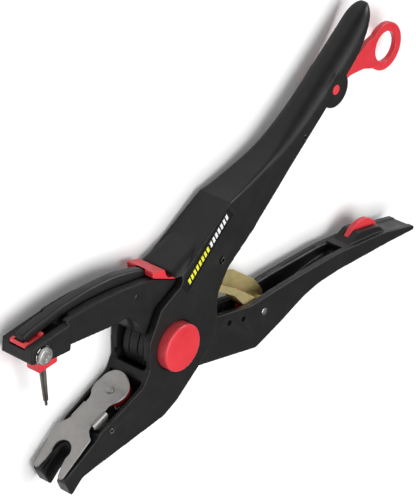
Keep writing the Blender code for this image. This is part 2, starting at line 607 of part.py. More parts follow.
def clip_point(t, w, depth):
    """A point of the clip: t mm from the rivet towards the fork, w mm across, depth mm below the top."""
    bend = (Vector(CLIP_BEND) - Vector(RIVET)).length
    middle = (CLIP_REAR_ANGLE + CLIP_FORK_ANGLE) / 2
    if abs(t - bend) < 1e-6:
        lean = math.cos(math.radians(CLIP_FORK_ANGLE - middle))
        flat = Vector(CLIP_BEND) + unit(middle + 90) * depth / lean
    elif t < bend:
        flat = Vector(RIVET) + unit(CLIP_REAR_ANGLE) * t + unit(CLIP_REAR_ANGLE + 90) * depth
    else:
        flat = Vector(CLIP_BEND) + unit(CLIP_FORK_ANGLE) * (t - bend) + unit(CLIP_FORK_ANGLE + 90) * depth
    return Vector((flat.x, flat.y, MID + w)) * MM


def clip_outline(bend):
    """The clip's flat outline, t from the rivet and w across: pad, neck and fork."""
    tip = bend + 31.0
    half = [*arc((-0.3, 0), 11.3, 180, 47, 9), (9.4, 8.0), (12.2, 8.0), (13.2, 9.0), (24.6, 9.0), (25.4, 8.2),
            (bend, 8.6), (bend + 4.6, 12.9), (bend + 6.0, 12.8), *arc((tip - 1.9, 9.2), 1.9, 80, -75, 5),
            (bend + 25.0, 6.1), (bend + 20.0, 5.5), *arc((bend + 16.3, 0), 6.1, 64, 154, 4), (bend + 10.2, 0)]
    return half + [(t, -w) for t, w in reversed(half) if abs(w) > 1e-6]


def make_clip():
    bend = (Vector(CLIP_BEND) - Vector(RIVET)).length
    work = bmesh.new()
    work.faces.new([work.verts.new((t * MM, w * MM, 0)) for t, w in clip_outline(bend)])
    bmesh.ops.bisect_plane(work, geom=work.verts[:] + work.edges[:] + work.faces[:], dist=1e-7,
                           plane_co=(bend * MM, 0, 0), plane_no=(1, 0, 0))
    for vertex in work.verts:
        vertex.co = clip_point(vertex.co.x / MM, vertex.co.y / MM, 0)
    mesh = bpy.data.meshes.new("clip_plate")
    work.to_mesh(mesh)
    work.free()
    clip = bpy.data.objects.new("clip_plate", mesh)
    bpy.context.scene.collection.objects.link(clip)
    place(finish(clip, "clip_plate", STAINLESS), CLIP_AXIS)
    sheet = clip.modifiers.new("sheet", "SOLIDIFY")
    sheet.thickness = CLIP_THICKNESS * MM
    sheet.offset = -1 if mesh.polygons[0].normal.y > 0 else 1
    sheet.use_even_offset = True

    start, end = clip_point(13.6, 0, 0.4).xy / MM, clip_point(24.3, 0, 0.4).xy / MM
    ear = rounded([tuple(start), tuple(end), (CLIP_AXIS[0] - 3.4, CLIP_AXIS[1] - 0.5, 2.4),
                   (CLIP_AXIS[0], CLIP_AXIS[1] - 3.6, 3.2), (CLIP_AXIS[0] + 3.6, CLIP_AXIS[1], 2.4)])
    near, far = CLIP_EAR
    join(clip, plate("clip_ear_near", ear, MID + near, MID + far),
         plate("clip_ear_far", ear, MID - far, MID - near))
    cut(clip, pin("clip_eye", CLIP_AXIS, -1, 31, 2.1))

    top = tuple(clip_point(0, 0, 0).xy / MM)
    up = CLIP_REAR_ANGLE - 90
    cut(clip, turned("rivet_hole", [(1.75, 6), (1.75, -6)], centre=top, angle=up, steps=20))
    turned("clip_rivet", [(1.9, 1.3), (2.25, 0.9), (2.25, 0.05), (1.55, 0.05), (1.55, -3.4)], BRIGHT_STEEL,
           top, up, 24, CLIP_AXIS)
    under = tuple(clip_point(-2.6, 0, CLIP_THICKNESS + 0.3).xy / MM)
    down = CLIP_REAR_ANGLE + 90
    button = turned("clip_button", [(8.1, 6.2), (8.6, 5.7), (8.6, 0.3), (8.3, 0.0)], RED, under, down, 32,
                    CLIP_AXIS)
    cut(button, turned("button_bore", [(1.75, 8), (1.75, -4)], centre=top, angle=down, steps=20),
        turned("button_spring_seat", [(5.0, 9.0), (5.0, 4.6)], centre=under, angle=down, steps=24))


# Ring latch, springs, pins and the label

def make_ring_latch():
    lever = [*arc(RING_AXIS, 6.6, 110, 290, 10), (152.5, 97.7), (166.0, 102.5), (178.5, 102.3),
             (184.6, 100.2),
             *arc(RING_CENTRE, 14.9, 222, 498, 22), (182.0, 118.6), (171.5, 112.6), (158.0, 108.4),
             (150.0, 109.2)]
    ring = plate("ring_latch", lever, *halves(1.8), RED, holes=[circle(RING_CENTRE, 9.5, 32)],
                 edge=0.5, origin=RING_AXIS)
    cut(ring, pin("ring_eye", RING_AXIS, -1, 31, 3.3))
    turned("ring_pin", [(2.9, MID + 9.9), (3.1, MID + 9.6), (3.1, MID - 9.3), (2.9, MID - 9.6)], RED,
           RING_AXIS, steps=24)


def coil(centre, axis, radius, turns, pitch, per_turn=10):
    """Points of a helix, mm; axis is a unit vector."""
    axis = Vector(axis).normalized()
    side = axis.orthogonal().normalized()
    other = axis.cross(side)
    points = []
    for i in range(int(turns * per_turn) + 1):
        turn = math.tau * i / per_turn
        points.append(Vector(centre) + axis * pitch * i / per_turn
                      + side * radius * math.cos(turn) + other * radius * math.sin(turn))
    return points


def make_springs():
    button_at = clip_point(-2.6, 0, 0).xy / MM
    down = unit(CLIP_REAR_ANGLE + 90)
    seat = Vector(button_at) + down * 6.8
    wire("clip_spring", coil((seat.x, seat.y, MID), (down.x, down.y, 0), 3.8, 5, 1.65), 0.45, BRIGHT_STEEL)

    direction = unit(GRIP_ANGLE + 3.0)
    start = Vector(SPRING_ANCHOR) - direction * 9
    body = coil((start.x, start.y, MID), (-direction.x, -direction.y, 0), 2.9, 13, 2.3, per_turn=8)
    hook = [(*p, MID) for p in arc(SPRING_ANCHOR, 3.1, GRIP_ANGLE + 60, GRIP_ANGLE - 130, 6)]
    wire("jaw_return_spring", hook + body, 0.6, BRIGHT_STEEL)


def make_pins_and_label():
    for name, centre, radius, half, bore in (("trip_pin", TRIP_PIN, 2.35, MID - 0.6, 0),
                                             ("spring_anchor_pin", SPRING_ANCHOR, 2.05, 10.0, 0),
                                             ("clip_pin", CLIP_AXIS, 1.95, MID - 0.4, 1.0)):
        item = pin(name, centre, *halves(half), radius, BRIGHT_STEEL if bore else DARK_STEEL, steps=20)
        if bore:
            cut(item, pin(name + "_bore", centre, -1, 31, bore, steps=12))
    strip = plate("label_strip", rounded(label_outline(0), 45), 24, 24.35, LABEL)
    tilt_to_hood(strip, -0.45)


make_frame()
make_pivot()
make_lower_handle()
make_trip_link()
make_upper_jaw()
make_jaw_fittings()
make_carrier()
make_clip()
make_ring_latch()
make_springs()
make_pins_and_label()
for item in PARTS.objects:
    smooth(item)
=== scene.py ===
"""Looks of the ear-tag applicator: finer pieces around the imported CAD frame, materials, light and camera.

Everything is in the row frame: +Z along the hinge axes, origin on the main pivot at the table.
Lengths below are in millimetres unless a name says otherwise.
"""

import math

import bmesh
import bpy
from mathutils import Matrix, Vector


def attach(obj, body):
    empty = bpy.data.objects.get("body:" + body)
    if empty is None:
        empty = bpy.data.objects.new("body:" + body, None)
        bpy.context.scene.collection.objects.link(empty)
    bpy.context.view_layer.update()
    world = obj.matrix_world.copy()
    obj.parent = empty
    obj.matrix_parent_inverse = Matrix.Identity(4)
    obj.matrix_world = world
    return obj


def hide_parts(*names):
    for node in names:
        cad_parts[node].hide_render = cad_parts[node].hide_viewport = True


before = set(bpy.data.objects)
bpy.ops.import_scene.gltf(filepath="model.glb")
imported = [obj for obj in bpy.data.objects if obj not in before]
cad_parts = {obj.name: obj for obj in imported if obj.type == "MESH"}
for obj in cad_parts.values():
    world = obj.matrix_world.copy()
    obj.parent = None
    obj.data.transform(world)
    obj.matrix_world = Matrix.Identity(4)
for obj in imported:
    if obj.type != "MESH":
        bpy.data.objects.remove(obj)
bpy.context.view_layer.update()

MM = 0.001

# Places and sizes shared with the frame
CHEEK_WIDTH = 29.6
MID = CHEEK_WIDTH / 2
CAVITY_HALF = 10.15
ARM_HALF = 9.75
HANDLE_HALF = 9.65
CHANNEL_HALF = 5.65
BAR_HALF = 3.3              # the bar along the upper jaw
BAR_GAP_HALF = 3.6          # its grooves in the jaw, the saddle and the shoe
EAR_RADIUS = 19.0
EAR_INNER_HALF = 3.3
EAR_OUTER_HALF = 8.2
HUB_HALF = 3.0
PIVOT_BORE = 6.6
CAP_RADIUS = 14.25
CAP_TOP = 35.2
GRIP_ANGLE = 39.55
JAW_ANGLE = 210.5
NOSE_BOLT = (-99.0, 37.7)
JAW_PIN = (-25.5, 40.1)
CLIP_AXIS = (-51.5, -32.0)
LINK_AXIS = (81.6, -16.6)
TRIP_PIN = (40.5, 36.6)
SPRING_ANCHOR = (115.6, 83.5)
RING_AXIS = (143.2, 103.9)
RING_CENTRE = (198.4, 109.9)
RING_BOSS = (142.8, 104.4)
CATCH_CENTRE = (181.4, -16.2)
ADJUST_HOLES = ((63.1, -13.5), (50.9, -10.7))
LABEL_ORIGIN = (6.6, 31.6)
LABEL_ANGLE = 37.2
NEEDLE_SLOT = (-76.8, -37.6)
NEEDLE_SLOT_ANGLE = -50.0
NEEDLE_BASE = (-89.3, 23.4)
NEEDLE_ANGLE = -85.4
BLOCK_AT = (72.0, -12.0)    # the red block in the trip link
BLOCK_ANGLE = 62
ARC_STEP = 7.5              # degrees per step on arcs


# Materials

class Nodes:
    """Short calls for building one material's node tree."""

    def __init__(self, name):
        self.material = bpy.data.materials.new(name)
        self.material.use_nodes = True
        self.tree = self.material.node_tree
        self.shader = self.tree.nodes["Principled BSDF"]
        self.place = self.node("ShaderNodeTexCoord").outputs["Object"]

    def node(self, kind, **values):
        made = self.tree.nodes.new(kind)
        for key, value in values.items():
            if hasattr(made, key) and not isinstance(value, (tuple, float)):
                setattr(made, key, value)
            else:
                made.inputs[key.replace("_", " ")].default_value = value
        return made

    def link(self, source, target):
        self.tree.links.new(source, target)

    def noise(self, scale, detail=3.0, roughness=0.5, stretch=None):
        made = self.node("ShaderNodeTexNoise", Scale=float(scale), Detail=float(detail),
                         Roughness=float(roughness))
        place = self.place
        if stretch:
            mapping = self.node("ShaderNodeMapping")
            mapping.inputs["Scale"].default_value = stretch
            self.link(place, mapping.inputs["Vector"])
            place = mapping.outputs["Vector"]
        self.link(place, made.inputs["Vector"])
        return made.outputs["Fac"]

    def ramp(self, factor, *stops):
        made = self.node("ShaderNodeValToRGB")
        elements = made.color_ramp.elements
        while len(elements) < len(stops):
            elements.new(0.5)
        for element, (position, colour) in zip(elements, stops):
            element.position = position
            element.color = (*colour, 1.0) if len(colour) == 3 else colour
        self.link(factor, made.inputs["Fac"])
        return made.outputs["Color"]

    def spread(self, factor, low, high):
        """Maps a noise's middle range to low..high."""
        made = self.node("ShaderNodeMapRange")
        for key, value in (("From Min", 0.3), ("From Max", 0.7), ("To Min", low), ("To Max", high)):
            made.inputs[key].default_value = value
        self.link(factor, made.inputs["Value"])
        return made.outputs["Result"]

    def mix(self, factor, first, second, blend="MIX"):
        made = self.node("ShaderNodeMix", data_type="RGBA")
        made.blend_type = blend
        for source, socket in ((factor, made.inputs[0]), (first, made.inputs[6]), (second, made.inputs[7])):
            if isinstance(source, bpy.types.NodeSocket):
                self.link(source, socket)
            elif isinstance(source, tuple):
                socket.default_value = (*source, 1.0)
            else:
                socket.default_value = source
        return made.outputs[2]

    def bump(self, *layers):
        """Layers are (height, strength, distance in mm); each feeds the next."""
        normal = None
        for height, strength, distance in layers:
            made = self.node("ShaderNodeBump", Strength=float(strength), Distance=distance * MM)
            self.link(height, made.inputs["Height"])
            if normal:
                self.link(normal, made.inputs["Normal"])
            normal = made.outputs["Normal"]
        self.link(normal, self.shader.inputs["Normal"])

    def edges(self, low=0.5, high=0.6):
        """1 on convex edges, 0 on flat and hollow places."""
        made = self.node("ShaderNodeMapRange")
        for key, value in (("From Min", low), ("From Max", high), ("To Min", 0.0), ("To Max", 1.0)):
            made.inputs[key].default_value = value
        self.link(self.node("ShaderNodeNewGeometry").outputs["Pointiness"], made.inputs["Value"])
        return made.outputs["Result"]


def moulded_plastic(name, base, light, dark, roughness, grain=0.10, worn=None, specular=0.35):
    """A satin moulding: fine spark-eroded grain, faint flow marks and handling scuffs."""
    n = Nodes(name)
    flow = n.noise(55, 4, 0.55)
    colour = n.ramp(flow, (0.3, dark), (0.52, base), (0.75, light))
    specks = n.spread(n.noise(5200, 2, 0.6), 0.0, 0.35)
    colour = n.mix(specks, colour, light)
    if worn:
        colour = n.mix(n.edges(0.515, 0.60), colour, worn)
    n.shader.inputs["Specular IOR Level"].default_value = specular
    n.link(colour, n.shader.inputs["Base Color"])
    n.link(n.spread(n.noise(170, 5, 0.6), roughness - 0.05, roughness + 0.07), n.shader.inputs["Roughness"])
    n.bump((n.noise(3600, 3, 0.55), grain, 0.05), (n.noise(620, 2, 0.5), grain * 0.5, 0.08),
           (n.noise(45, 2, 0.4), 0.06, 0.5))
    return n.material


def metal(name, base, light, dark, roughness, metallic=1.0, grain=(0.08, 4200), stretch=None, spots=0.0,
          waves=0.05):
    n = Nodes(name)
    cloud = n.noise(110, 5, 0.6)
    colour = n.ramp(cloud, (0.3, dark), (0.5, base), (0.72, light))
    if spots:
        colour = n.mix(n.spread(n.noise(1500, 2, 0.7), 0.0, spots), colour, dark)
    n.link(colour, n.shader.inputs["Base Color"])
    n.shader.inputs["Metallic"].default_value = metallic
    n.link(n.spread(n.noise(420, 4, 0.6, stretch), roughness - 0.07, roughness + 0.1),
           n.shader.inputs["Roughness"])
    n.bump((n.noise(grain[1], 3, 0.6, stretch), grain[0], 0.04), (n.noise(70, 2, 0.4), waves, 0.3))
    return n.material


def zinc_passivate(name):
    """Yellow passivated sheet: gold with greenish and pink clouds."""
    n = Nodes(name)
    tint = n.ramp(n.noise(85, 3, 0.55), (0.32, (0.40, 0.36, 0.135)), (0.48, (0.56, 0.47, 0.20)),
                  (0.60, (0.60, 0.455, 0.225)), (0.75, (0.48, 0.48, 0.20)))
    colour = n.mix(n.spread(n.noise(240, 4, 0.6), 0.0, 0.5), tint, (0.66, 0.56, 0.28))
    n.link(colour, n.shader.inputs["Base Color"])
    n.shader.inputs["Metallic"].default_value = 0.62
    n.link(n.spread(n.noise(300, 4, 0.6), 0.30, 0.46), n.shader.inputs["Roughness"])
    n.bump((n.noise(2600, 3, 0.6), 0.07, 0.04), (n.noise(60, 2, 0.4), 0.08, 0.4))
    return n.material


NYLON = moulded_plastic("black_nylon_grain", (0.0102, 0.0100, 0.0098), (0.0140, 0.0137, 0.0134),
                        (0.0080, 0.0079, 0.0078), 0.42, 0.11, (0.020, 0.0195, 0.019), 0.26)
RED = moulded_plastic("red_satin", (0.76, 0.036, 0.052), (0.80, 0.055, 0.070), (0.66, 0.024, 0.038), 0.34,
                      0.07, (0.83, 0.085, 0.10))
# A darker copy of the red plastic for the clip button: painted shade, since the button lies in shadow under
# the clip pad
RED_BUTTON_PAINTED_SHADE = moulded_plastic("red_button_painted_shade", (0.40, 0.018, 0.026), (0.46, 0.03, 0.04), (0.30, 0.012, 0.018),
                           0.36, 0.07)
VINYL = moulded_plastic("label_gloss", (0.0075, 0.0075, 0.0078), (0.0095, 0.0095, 0.0100),
                        (0.0060, 0.0060, 0.0063), 0.36, 0.04, None, 0.26)
YELLOW_INK = moulded_plastic("yellow_ink", (0.86, 0.83, 0.03), (0.90, 0.88, 0.08), (0.78, 0.74, 0.02), 0.42,
                             0.05)
WHITE_INK = moulded_plastic("white_ink", (0.86, 0.86, 0.85), (0.92, 0.92, 0.91), (0.78, 0.78, 0.77), 0.42,
                            0.05)
STAINLESS = metal("blasted_stainless", (0.335, 0.325, 0.315), (0.355, 0.345, 0.335), (0.315, 0.305, 0.295),
                  0.46, 0.80, (0.16, 5200), None, 0.35, 0.008)
BRIGHT = metal("bright_steel_turned", (0.62, 0.61, 0.60), (0.70, 0.69, 0.68), (0.50, 0.49, 0.48), 0.24, 1.0,
               (0.05, 3800))
TURNED = metal("bolt_steel", (0.50, 0.49, 0.475), (0.58, 0.57, 0.555), (0.40, 0.39, 0.38), 0.36, 0.9,
               (0.09, 4600))
DARK_STEEL = metal("oiled_steel", (0.085, 0.080, 0.076), (0.12, 0.113, 0.108), (0.055, 0.052, 0.05), 0.38,
                   0.9, (0.08, 3900))
NEEDLE_STEEL = metal("needle_steel", (0.155, 0.145, 0.135), (0.21, 0.20, 0.19), (0.10, 0.095, 0.09), 0.36,
                     0.9, (0.10, 2800), (1.0, 0.12, 1.0))
GOLD = zinc_passivate("yellow_zinc")
BRONZE = metal("bush_bronze", (0.42, 0.26, 0.11), (0.50, 0.32, 0.15), (0.32, 0.19, 0.08), 0.38, 1.0)


# Outlines: lists of (x, y) in mm

def unit(angle):
    return Vector((math.cos(math.radians(angle)), math.sin(math.radians(angle))))


def rounded(corners, step=ARC_STEP):
    """Outline from (x, y) or (x, y, radius) corners; a corner with a radius becomes an arc."""
    outline = []
    count = len(corners)
    for index, corner in enumerate(corners):
        here = Vector(corner[:2])
        radius = corner[2] if len(corner) > 2 else 0.0
        if not radius:
            outline.append(tuple(here))
            continue
        before = (Vector(corners[index - 1][:2]) - here).normalized()
        after = (Vector(corners[(index + 1) % count][:2]) - here).normalized()
        half = before.angle(after) / 2
        centre = here + (before + after).normalized() * radius / math.sin(half)
        start = here + before * radius / math.tan(half) - centre
        sweep = math.pi - 2 * half
        if before.x * after.y - before.y * after.x > 0:
            sweep = -sweep
        steps = max(2, round(abs(math.degrees(sweep)) / step))
        for turn in range(steps + 1):
            outline.append(tuple(centre + Matrix.Rotation(sweep * turn / steps, 2) @ start))
    return outline


def arc(centre, radius, start, end, steps=None):
    steps = steps or max(2, round(abs(end - start) / ARC_STEP))
    return [tuple(Vector(centre) + unit(start + (end - start) * i / steps) * radius)
            for i in range(steps + 1)]


def circle(centre, radius, steps=48):
    return arc(centre, radius, 3, 363 - 360 / steps, steps - 1)


def in_frame(origin, angle, points):
    """Points given along and across a direction, as points of the side view."""
    along, across = unit(angle), unit(angle + 90)
    return [(*(Vector(origin) + along * p[0] + across * p[1]), *p[2:]) for p in points]


def smooth_line(points, per_span=6):
    """A Catmull-Rom line through rows of numbers."""
    rows = [points[0], *points, points[-1]]
    line = []
    for a, b, c, d in zip(rows, rows[1:], rows[2:], rows[3:]):
        for i in range(per_span):
            t = i / per_span
            line.append(tuple(0.5 * (2 * q + (r - p) * t + (2 * p - 5 * q + 4 * r - s) * t * t
                                     + (3 * q - p - 3 * r + s) * t ** 3)
                              for p, q, r, s in zip(a, b, c, d)))
    line.append(tuple(points[-1]))
    return line


# Solids

def link_object(item):
    bpy.context.scene.collection.objects.link(item)
    return item


def from_bmesh(name, work):
    bmesh.ops.recalc_face_normals(work, faces=work.faces)
    mesh = bpy.data.meshes.new(name)
    work.to_mesh(mesh)
    work.free()
    return link_object(bpy.data.objects.new(name, mesh))


def evaluated(item):
    """The object with its modifiers applied and its caps welded; the cutters it used are removed."""
    bpy.context.view_layer.update()
    graph = bpy.context.evaluated_depsgraph_get()
    mesh = bpy.data.meshes.new_from_object(item.evaluated_get(graph))
    work = bmesh.new()
    work.from_mesh(mesh)
    work.transform(item.matrix_world)
    bmesh.ops.remove_doubles(work, verts=work.verts, dist=1e-6)
    bmesh.ops.recalc_face_normals(work, faces=work.faces)
    work.to_mesh(mesh)
    work.free()
    name = item.name
    used = [step.object for step in item.modifiers if step.type == "BOOLEAN"]
    for old in [item, *used]:
        if old.name in bpy.data.objects:
            bpy.data.objects.remove(old, do_unlink=True)
    mesh.name = name
    return link_object(bpy.data.objects.new(name, mesh))


def plate(name, outline, low, high, edge=0.0, edge_steps=3, holes=()):
    """A flat piece in the side view, from z low to high, with holes and rounded edges."""
    curve = bpy.data.curves.new(name, "CURVE")
    curve.dimensions = "2D"
    curve.fill_mode = "BOTH"
    curve.extrude = ((high - low) / 2 - edge) * MM
    curve.bevel_depth = edge * MM
    curve.offset = -edge * MM
    curve.bevel_resolution = edge_steps - 1
    for points in (outline, *holes):
        spline = curve.splines.new("POLY")
        spline.points.add(len(points) - 1)
        for point, (x, y) in zip(spline.points, points):
            point.co = (x * MM, y * MM, 0, 1)
        spline.use_cyclic_u = True
    drawn = link_object(bpy.data.objects.new(name, curve))
    drawn.location.z = (high + low) / 2 * MM
    return evaluated(drawn)


def halves(half):
    return MID - half, MID + half


def turned(name, profile, centre=(0, 0), angle=None, base=None, steps=48):
    """A turned piece: profile is (radius, height) pairs down the outer side, closed on the axis.

    It stands along Z at centre, or lies in the side view along angle, measured from base (x, y, z)."""
    mesh = bpy.data.meshes.new(name)
    points = [(0.0, profile[0][1]), *profile, (0.0, profile[-1][1])]
    mesh.from_pydata([(r * MM, 0, h * MM) for r, h in points], [(i, i + 1) for i in range(len(points) - 1)],
                     [])
    item = link_object(bpy.data.objects.new(name, mesh))
    screw = item.modifiers.new("turn", "SCREW")
    screw.steps = screw.render_steps = steps
    screw.use_merge_vertices = True
    screw.merge_threshold = 1e-6
    screw.use_normal_calculate = True
    if angle is None:
        item.location = (centre[0] * MM, centre[1] * MM, 0)
    else:
        lie = unit(angle).to_3d().to_track_quat("Z", "Y").to_matrix().to_4x4()
        item.matrix_world = Matrix.Translation(Vector(base) * MM) @ lie
    return evaluated(item)


def pin(name, centre, low, high, radius, edge=0.0, steps=40):
    if edge:
        return turned(name, [(radius - edge, high), (radius - edge * 0.3, high - edge * 0.3),
                             (radius, high - edge), (radius, low + edge),
                             (radius - edge * 0.3, low + edge * 0.3), (radius - edge, low)], centre,
                      steps=steps)
    return turned(name, [(radius, high), (radius, low)], centre, steps=steps)


def loft(name, sections):
    """A closed body through sections, each the same number of (x, y, z) points in mm."""
    work = bmesh.new()
    rings = [[work.verts.new(Vector(p) * MM) for p in section] for section in sections]
    for first, second in zip(rings, rings[1:]):
        for i in range(len(first)):
            j = (i + 1) % len(first)
            work.faces.new((first[i], second[i], second[j], first[j]))
    work.faces.new(reversed(rings[0]))
    work.faces.new(rings[-1])
    return from_bmesh(name, work)


def wire(name, points, radius, sides=4):
    """A round wire through (x, y, z) points in mm."""
    curve = bpy.data.curves.new(name, "CURVE")
    curve.dimensions = "3D"
    curve.bevel_depth = radius * MM
    curve.bevel_resolution = sides
    curve.use_fill_caps = True
    spline = curve.splines.new("POLY")
    spline.points.add(len(points) - 1)
    for point, co in zip(spline.points, points):
        point.co = (*(Vector(co) * MM), 1)
    return evaluated(link_object(bpy.data.objects.new(name, curve)))


def coil(centre, axis, radius, turns, pitch, per_turn=20):
    axis = Vector(axis).normalized()
    side = axis.orthogonal().normalized()
    other = axis.cross(side)
    return [Vector(centre) + axis * pitch * i / per_turn + side * radius * math.cos(math.tau * i / per_turn)
            + other * radius * math.sin(math.tau * i / per_turn) for i in range(int(turns * per_turn) + 1)]


def boolean(target, other, operation):
    step = target.modifiers.new(other.name, "BOOLEAN")
    step.operation = operation
    step.solver = "EXACT"
    step.object = other


def cut(target, *others):
    for other in others:
        boolean(target, other, "DIFFERENCE")


def join(target, *others):
    for other in others:
        boolean(target, other, "UNION")


def gather(name, items):
    """One object from several closed bodies that only touch or overlap."""
    work = bmesh.new()
    for item in items:
        work.from_mesh(item.data)
        bpy.data.objects.remove(item, do_unlink=True)
    return from_bmesh(name, work)


def moulding(item, voxel, rounds, faces):
    """Rounds every edge as a moulding's: a skin of voxel mm over the solid, smoothed, thinned to faces."""
    item = evaluated(item)
    skin = item.modifiers.new("skin", "REMESH")
    skin.mode = "VOXEL"
    skin.voxel_size = voxel * MM
    soft = item.modifiers.new("soft", "SMOOTH")
    soft.factor = 0.5
    soft.iterations = rounds
    item = evaluated(item)
    share = faces / max(1, 2 * len(item.data.polygons))
    if share < 1:
        thin = item.modifiers.new("thin", "DECIMATE")
        thin.ratio = share
        item = evaluated(item)
    return item


def show(item, look, body, *nodes, slot=None, sharp=35):
    """Gives the finished piece its material and body, and hides the CAD nodes it stands for."""
    item = evaluated(item) if item.modifiers else item
    item.data.materials.clear()
    item.data.materials.append(look)
    item.data.shade_smooth()
    item.data.set_sharp_from_angle(angle=math.radians(sharp))
    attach(item, body)
    if nodes:
        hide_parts(*nodes)
    return item


# Main frame

BODY = [(9.2, 43.3, 2), (6.0, 40.4, 1.0), (5.8, 36.0, 3), (-11.4, 27.2, 6),
        (-16.4, 18.0, 4), (-21.3, 9.5, 8), (-21.7, -7.5, 5), (-26.5, -15.6, 7), (-61.2, -30.6, 0.6),
        (-61.9, -32.3, 0.6), (-86.6, -46.9, 1.2), (-86.8, -50.5, 5), (-82.4, -59.9, 1), (-73.5, -52.1, 12),
        (-64.0, -50.4, 8), (-10.8, -42.2, 10), (0.7, -36.8, 8), (18.5, -23.2, 8), (33.6, -8, 9),
        (35.2, 8, 12), (36.2, 17, 10), (45.6, 29.2, 14)]
TAPER_START, SECTION_START, SECTION_HALF = 28.0, 82.0, 11.65
JAW_TAPER, JAW_TIP_HALF = (26.0, 98.0), 12.6
GRIP_STATIONS = [           # along, outer edge, inner edge, half width, outer edge radius
    (81.6, 22.2, -10.75, 11.85, 1.5), (88, 18.8, -11.2, 11.3, 1.6), (94, 16.0, -11.6, 11.0, 1.8),
    (102, 12.7, -12.1, 10.6, 2.2), (110, 9.6, -12.4, 10.3, 2.8), (118, 6.9, -12.6, 10.0, 3.6),
    (126, 4.9, -12.7, 9.85, 4.6), (136, 3.5, -12.8, 9.8, 6.0), (150, 2.5, -12.8, 9.8, 7.6),
    (168, 1.8, -12.8, 9.8, 8.6), (188, 1.5, -12.9, 9.8, 8.9), (202, 1.4, -12.2, 9.7, 8.8),
    (211, 1.3, -10.3, 9.2, 8.2), (218, 1.3, -8.3, 8.4, 6.6), (223.5, 0.9, -6.6, 7.0, 4.8),
    (227.5, 0.0, -5.0, 4.9, 3.0), (230, -1.3, -3.6, 2.4, 1.1)]
SNOUT_LIP, SNOUT_RISE, SNOUT_RADIUS = (1.2, 44.5), 0.375, 6.6


def grip_section(station, inner_radius=1.6, arc_steps=8):
    """One cross-section of the grip: large radii on the outer side, small ones on the inner side."""
    along, outer, inner, half, radius = station
    radius = min(radius, half * 0.97)
    inner_radius = min(inner_radius, (outer - inner) / 3, half * 0.9)
    corners = ((outer, half, radius, 0), (outer, -half, radius, -90),
               (inner, -half, inner_radius, -180), (inner, half, inner_radius, -270))
    points = []
    for across, side, round_off, start in corners:
        centre = (across - math.copysign(round_off, across - (outer + inner) / 2),
                  side - math.copysign(round_off, side))
        for i in range(arc_steps + 1):
            turn = math.radians(start + 90 - 90 * i / arc_steps)
            flat = unit(GRIP_ANGLE) * along + unit(GRIP_ANGLE + 90) * (centre[0] + round_off * math.cos(turn))
            points.append((flat.x, flat.y, MID + centre[1] + round_off * math.sin(turn)))
    return points


def snout():
    """The barrel-topped lip that the saddle slides under."""
    sections = []
    for x in (1.3, 2.0, 4.0, 5.9, 6.4, 10, 16, 22, 30):
        top = SNOUT_LIP[1] + SNOUT_RISE * (x - SNOUT_LIP[0]) - (0.7 if x < 1.5 else 0)
        low = 41.5 if x < 6 else min(top - 8, 39)
        half = MID - 0.02
        arc_low = max(low, top - SNOUT_RADIUS)
        last = math.acos((arc_low - top + SNOUT_RADIUS) / SNOUT_RADIUS)
        side = [(half - SNOUT_RADIUS + SNOUT_RADIUS * math.sin(last * i / 8),
                 top - SNOUT_RADIUS + SNOUT_RADIUS * math.cos(last * i / 8)) for i in range(9)]
        side.append((side[-1][0], low - 0.01))
        sections.append([(x, y, MID + z) for z, y in side] + [(x, y, MID - z) for z, y in reversed(side)])
    return loft("snout", sections)


def taper(item, angle, start, end, end_half):
    """Narrows a plate as wide as the cheeks along a direction, on both sides."""
    direction = unit(angle)
    work = bmesh.new()
    work.from_mesh(item.data)
    bmesh.ops.bisect_plane(work, geom=work.verts[:] + work.edges[:] + work.faces[:], dist=1e-7,
                           plane_co=(direction * start * MM).to_3d(), plane_no=direction.to_3d())
    for vertex in work.verts:
        share = max(0.0, (vertex.co.xy.dot(direction) / MM - start) / (end - start))
        vertex.co.z = MID * MM + (vertex.co.z - MID * MM) * (1 - (1 - end_half / MID) * share)
    work.to_mesh(item.data)
    work.free()


def needle_slot():
    """The chute for the needle, open at the front: at each depth a half width and the reach of its back."""
    down, inward = unit(NEEDLE_SLOT_ANGLE), unit(NEEDLE_SLOT_ANGLE + 90)
    sections = []
    for depth, half, back in ((-8, 6.4, 6.6), (1.0, 6.1, 6.3), (4, 5.6, 5.9), (4.6, 4.6, 4.9),
                              (30, 1.9, 3.0)):
        start = Vector(NEEDLE_SLOT) + down * depth
        mouth = start - inward * 40
        side = [(mouth, half), (start, half)]
        side += [(start + inward * back * math.sin(math.radians(a)), half * math.cos(math.radians(a)))
                 for a in range(10, 180, 10)]
        side += [(start, -half), (mouth, -half)]
        sections.append([(p.x, p.y, MID + z) for p, z in side])
    return loft("needle_slot", sections)


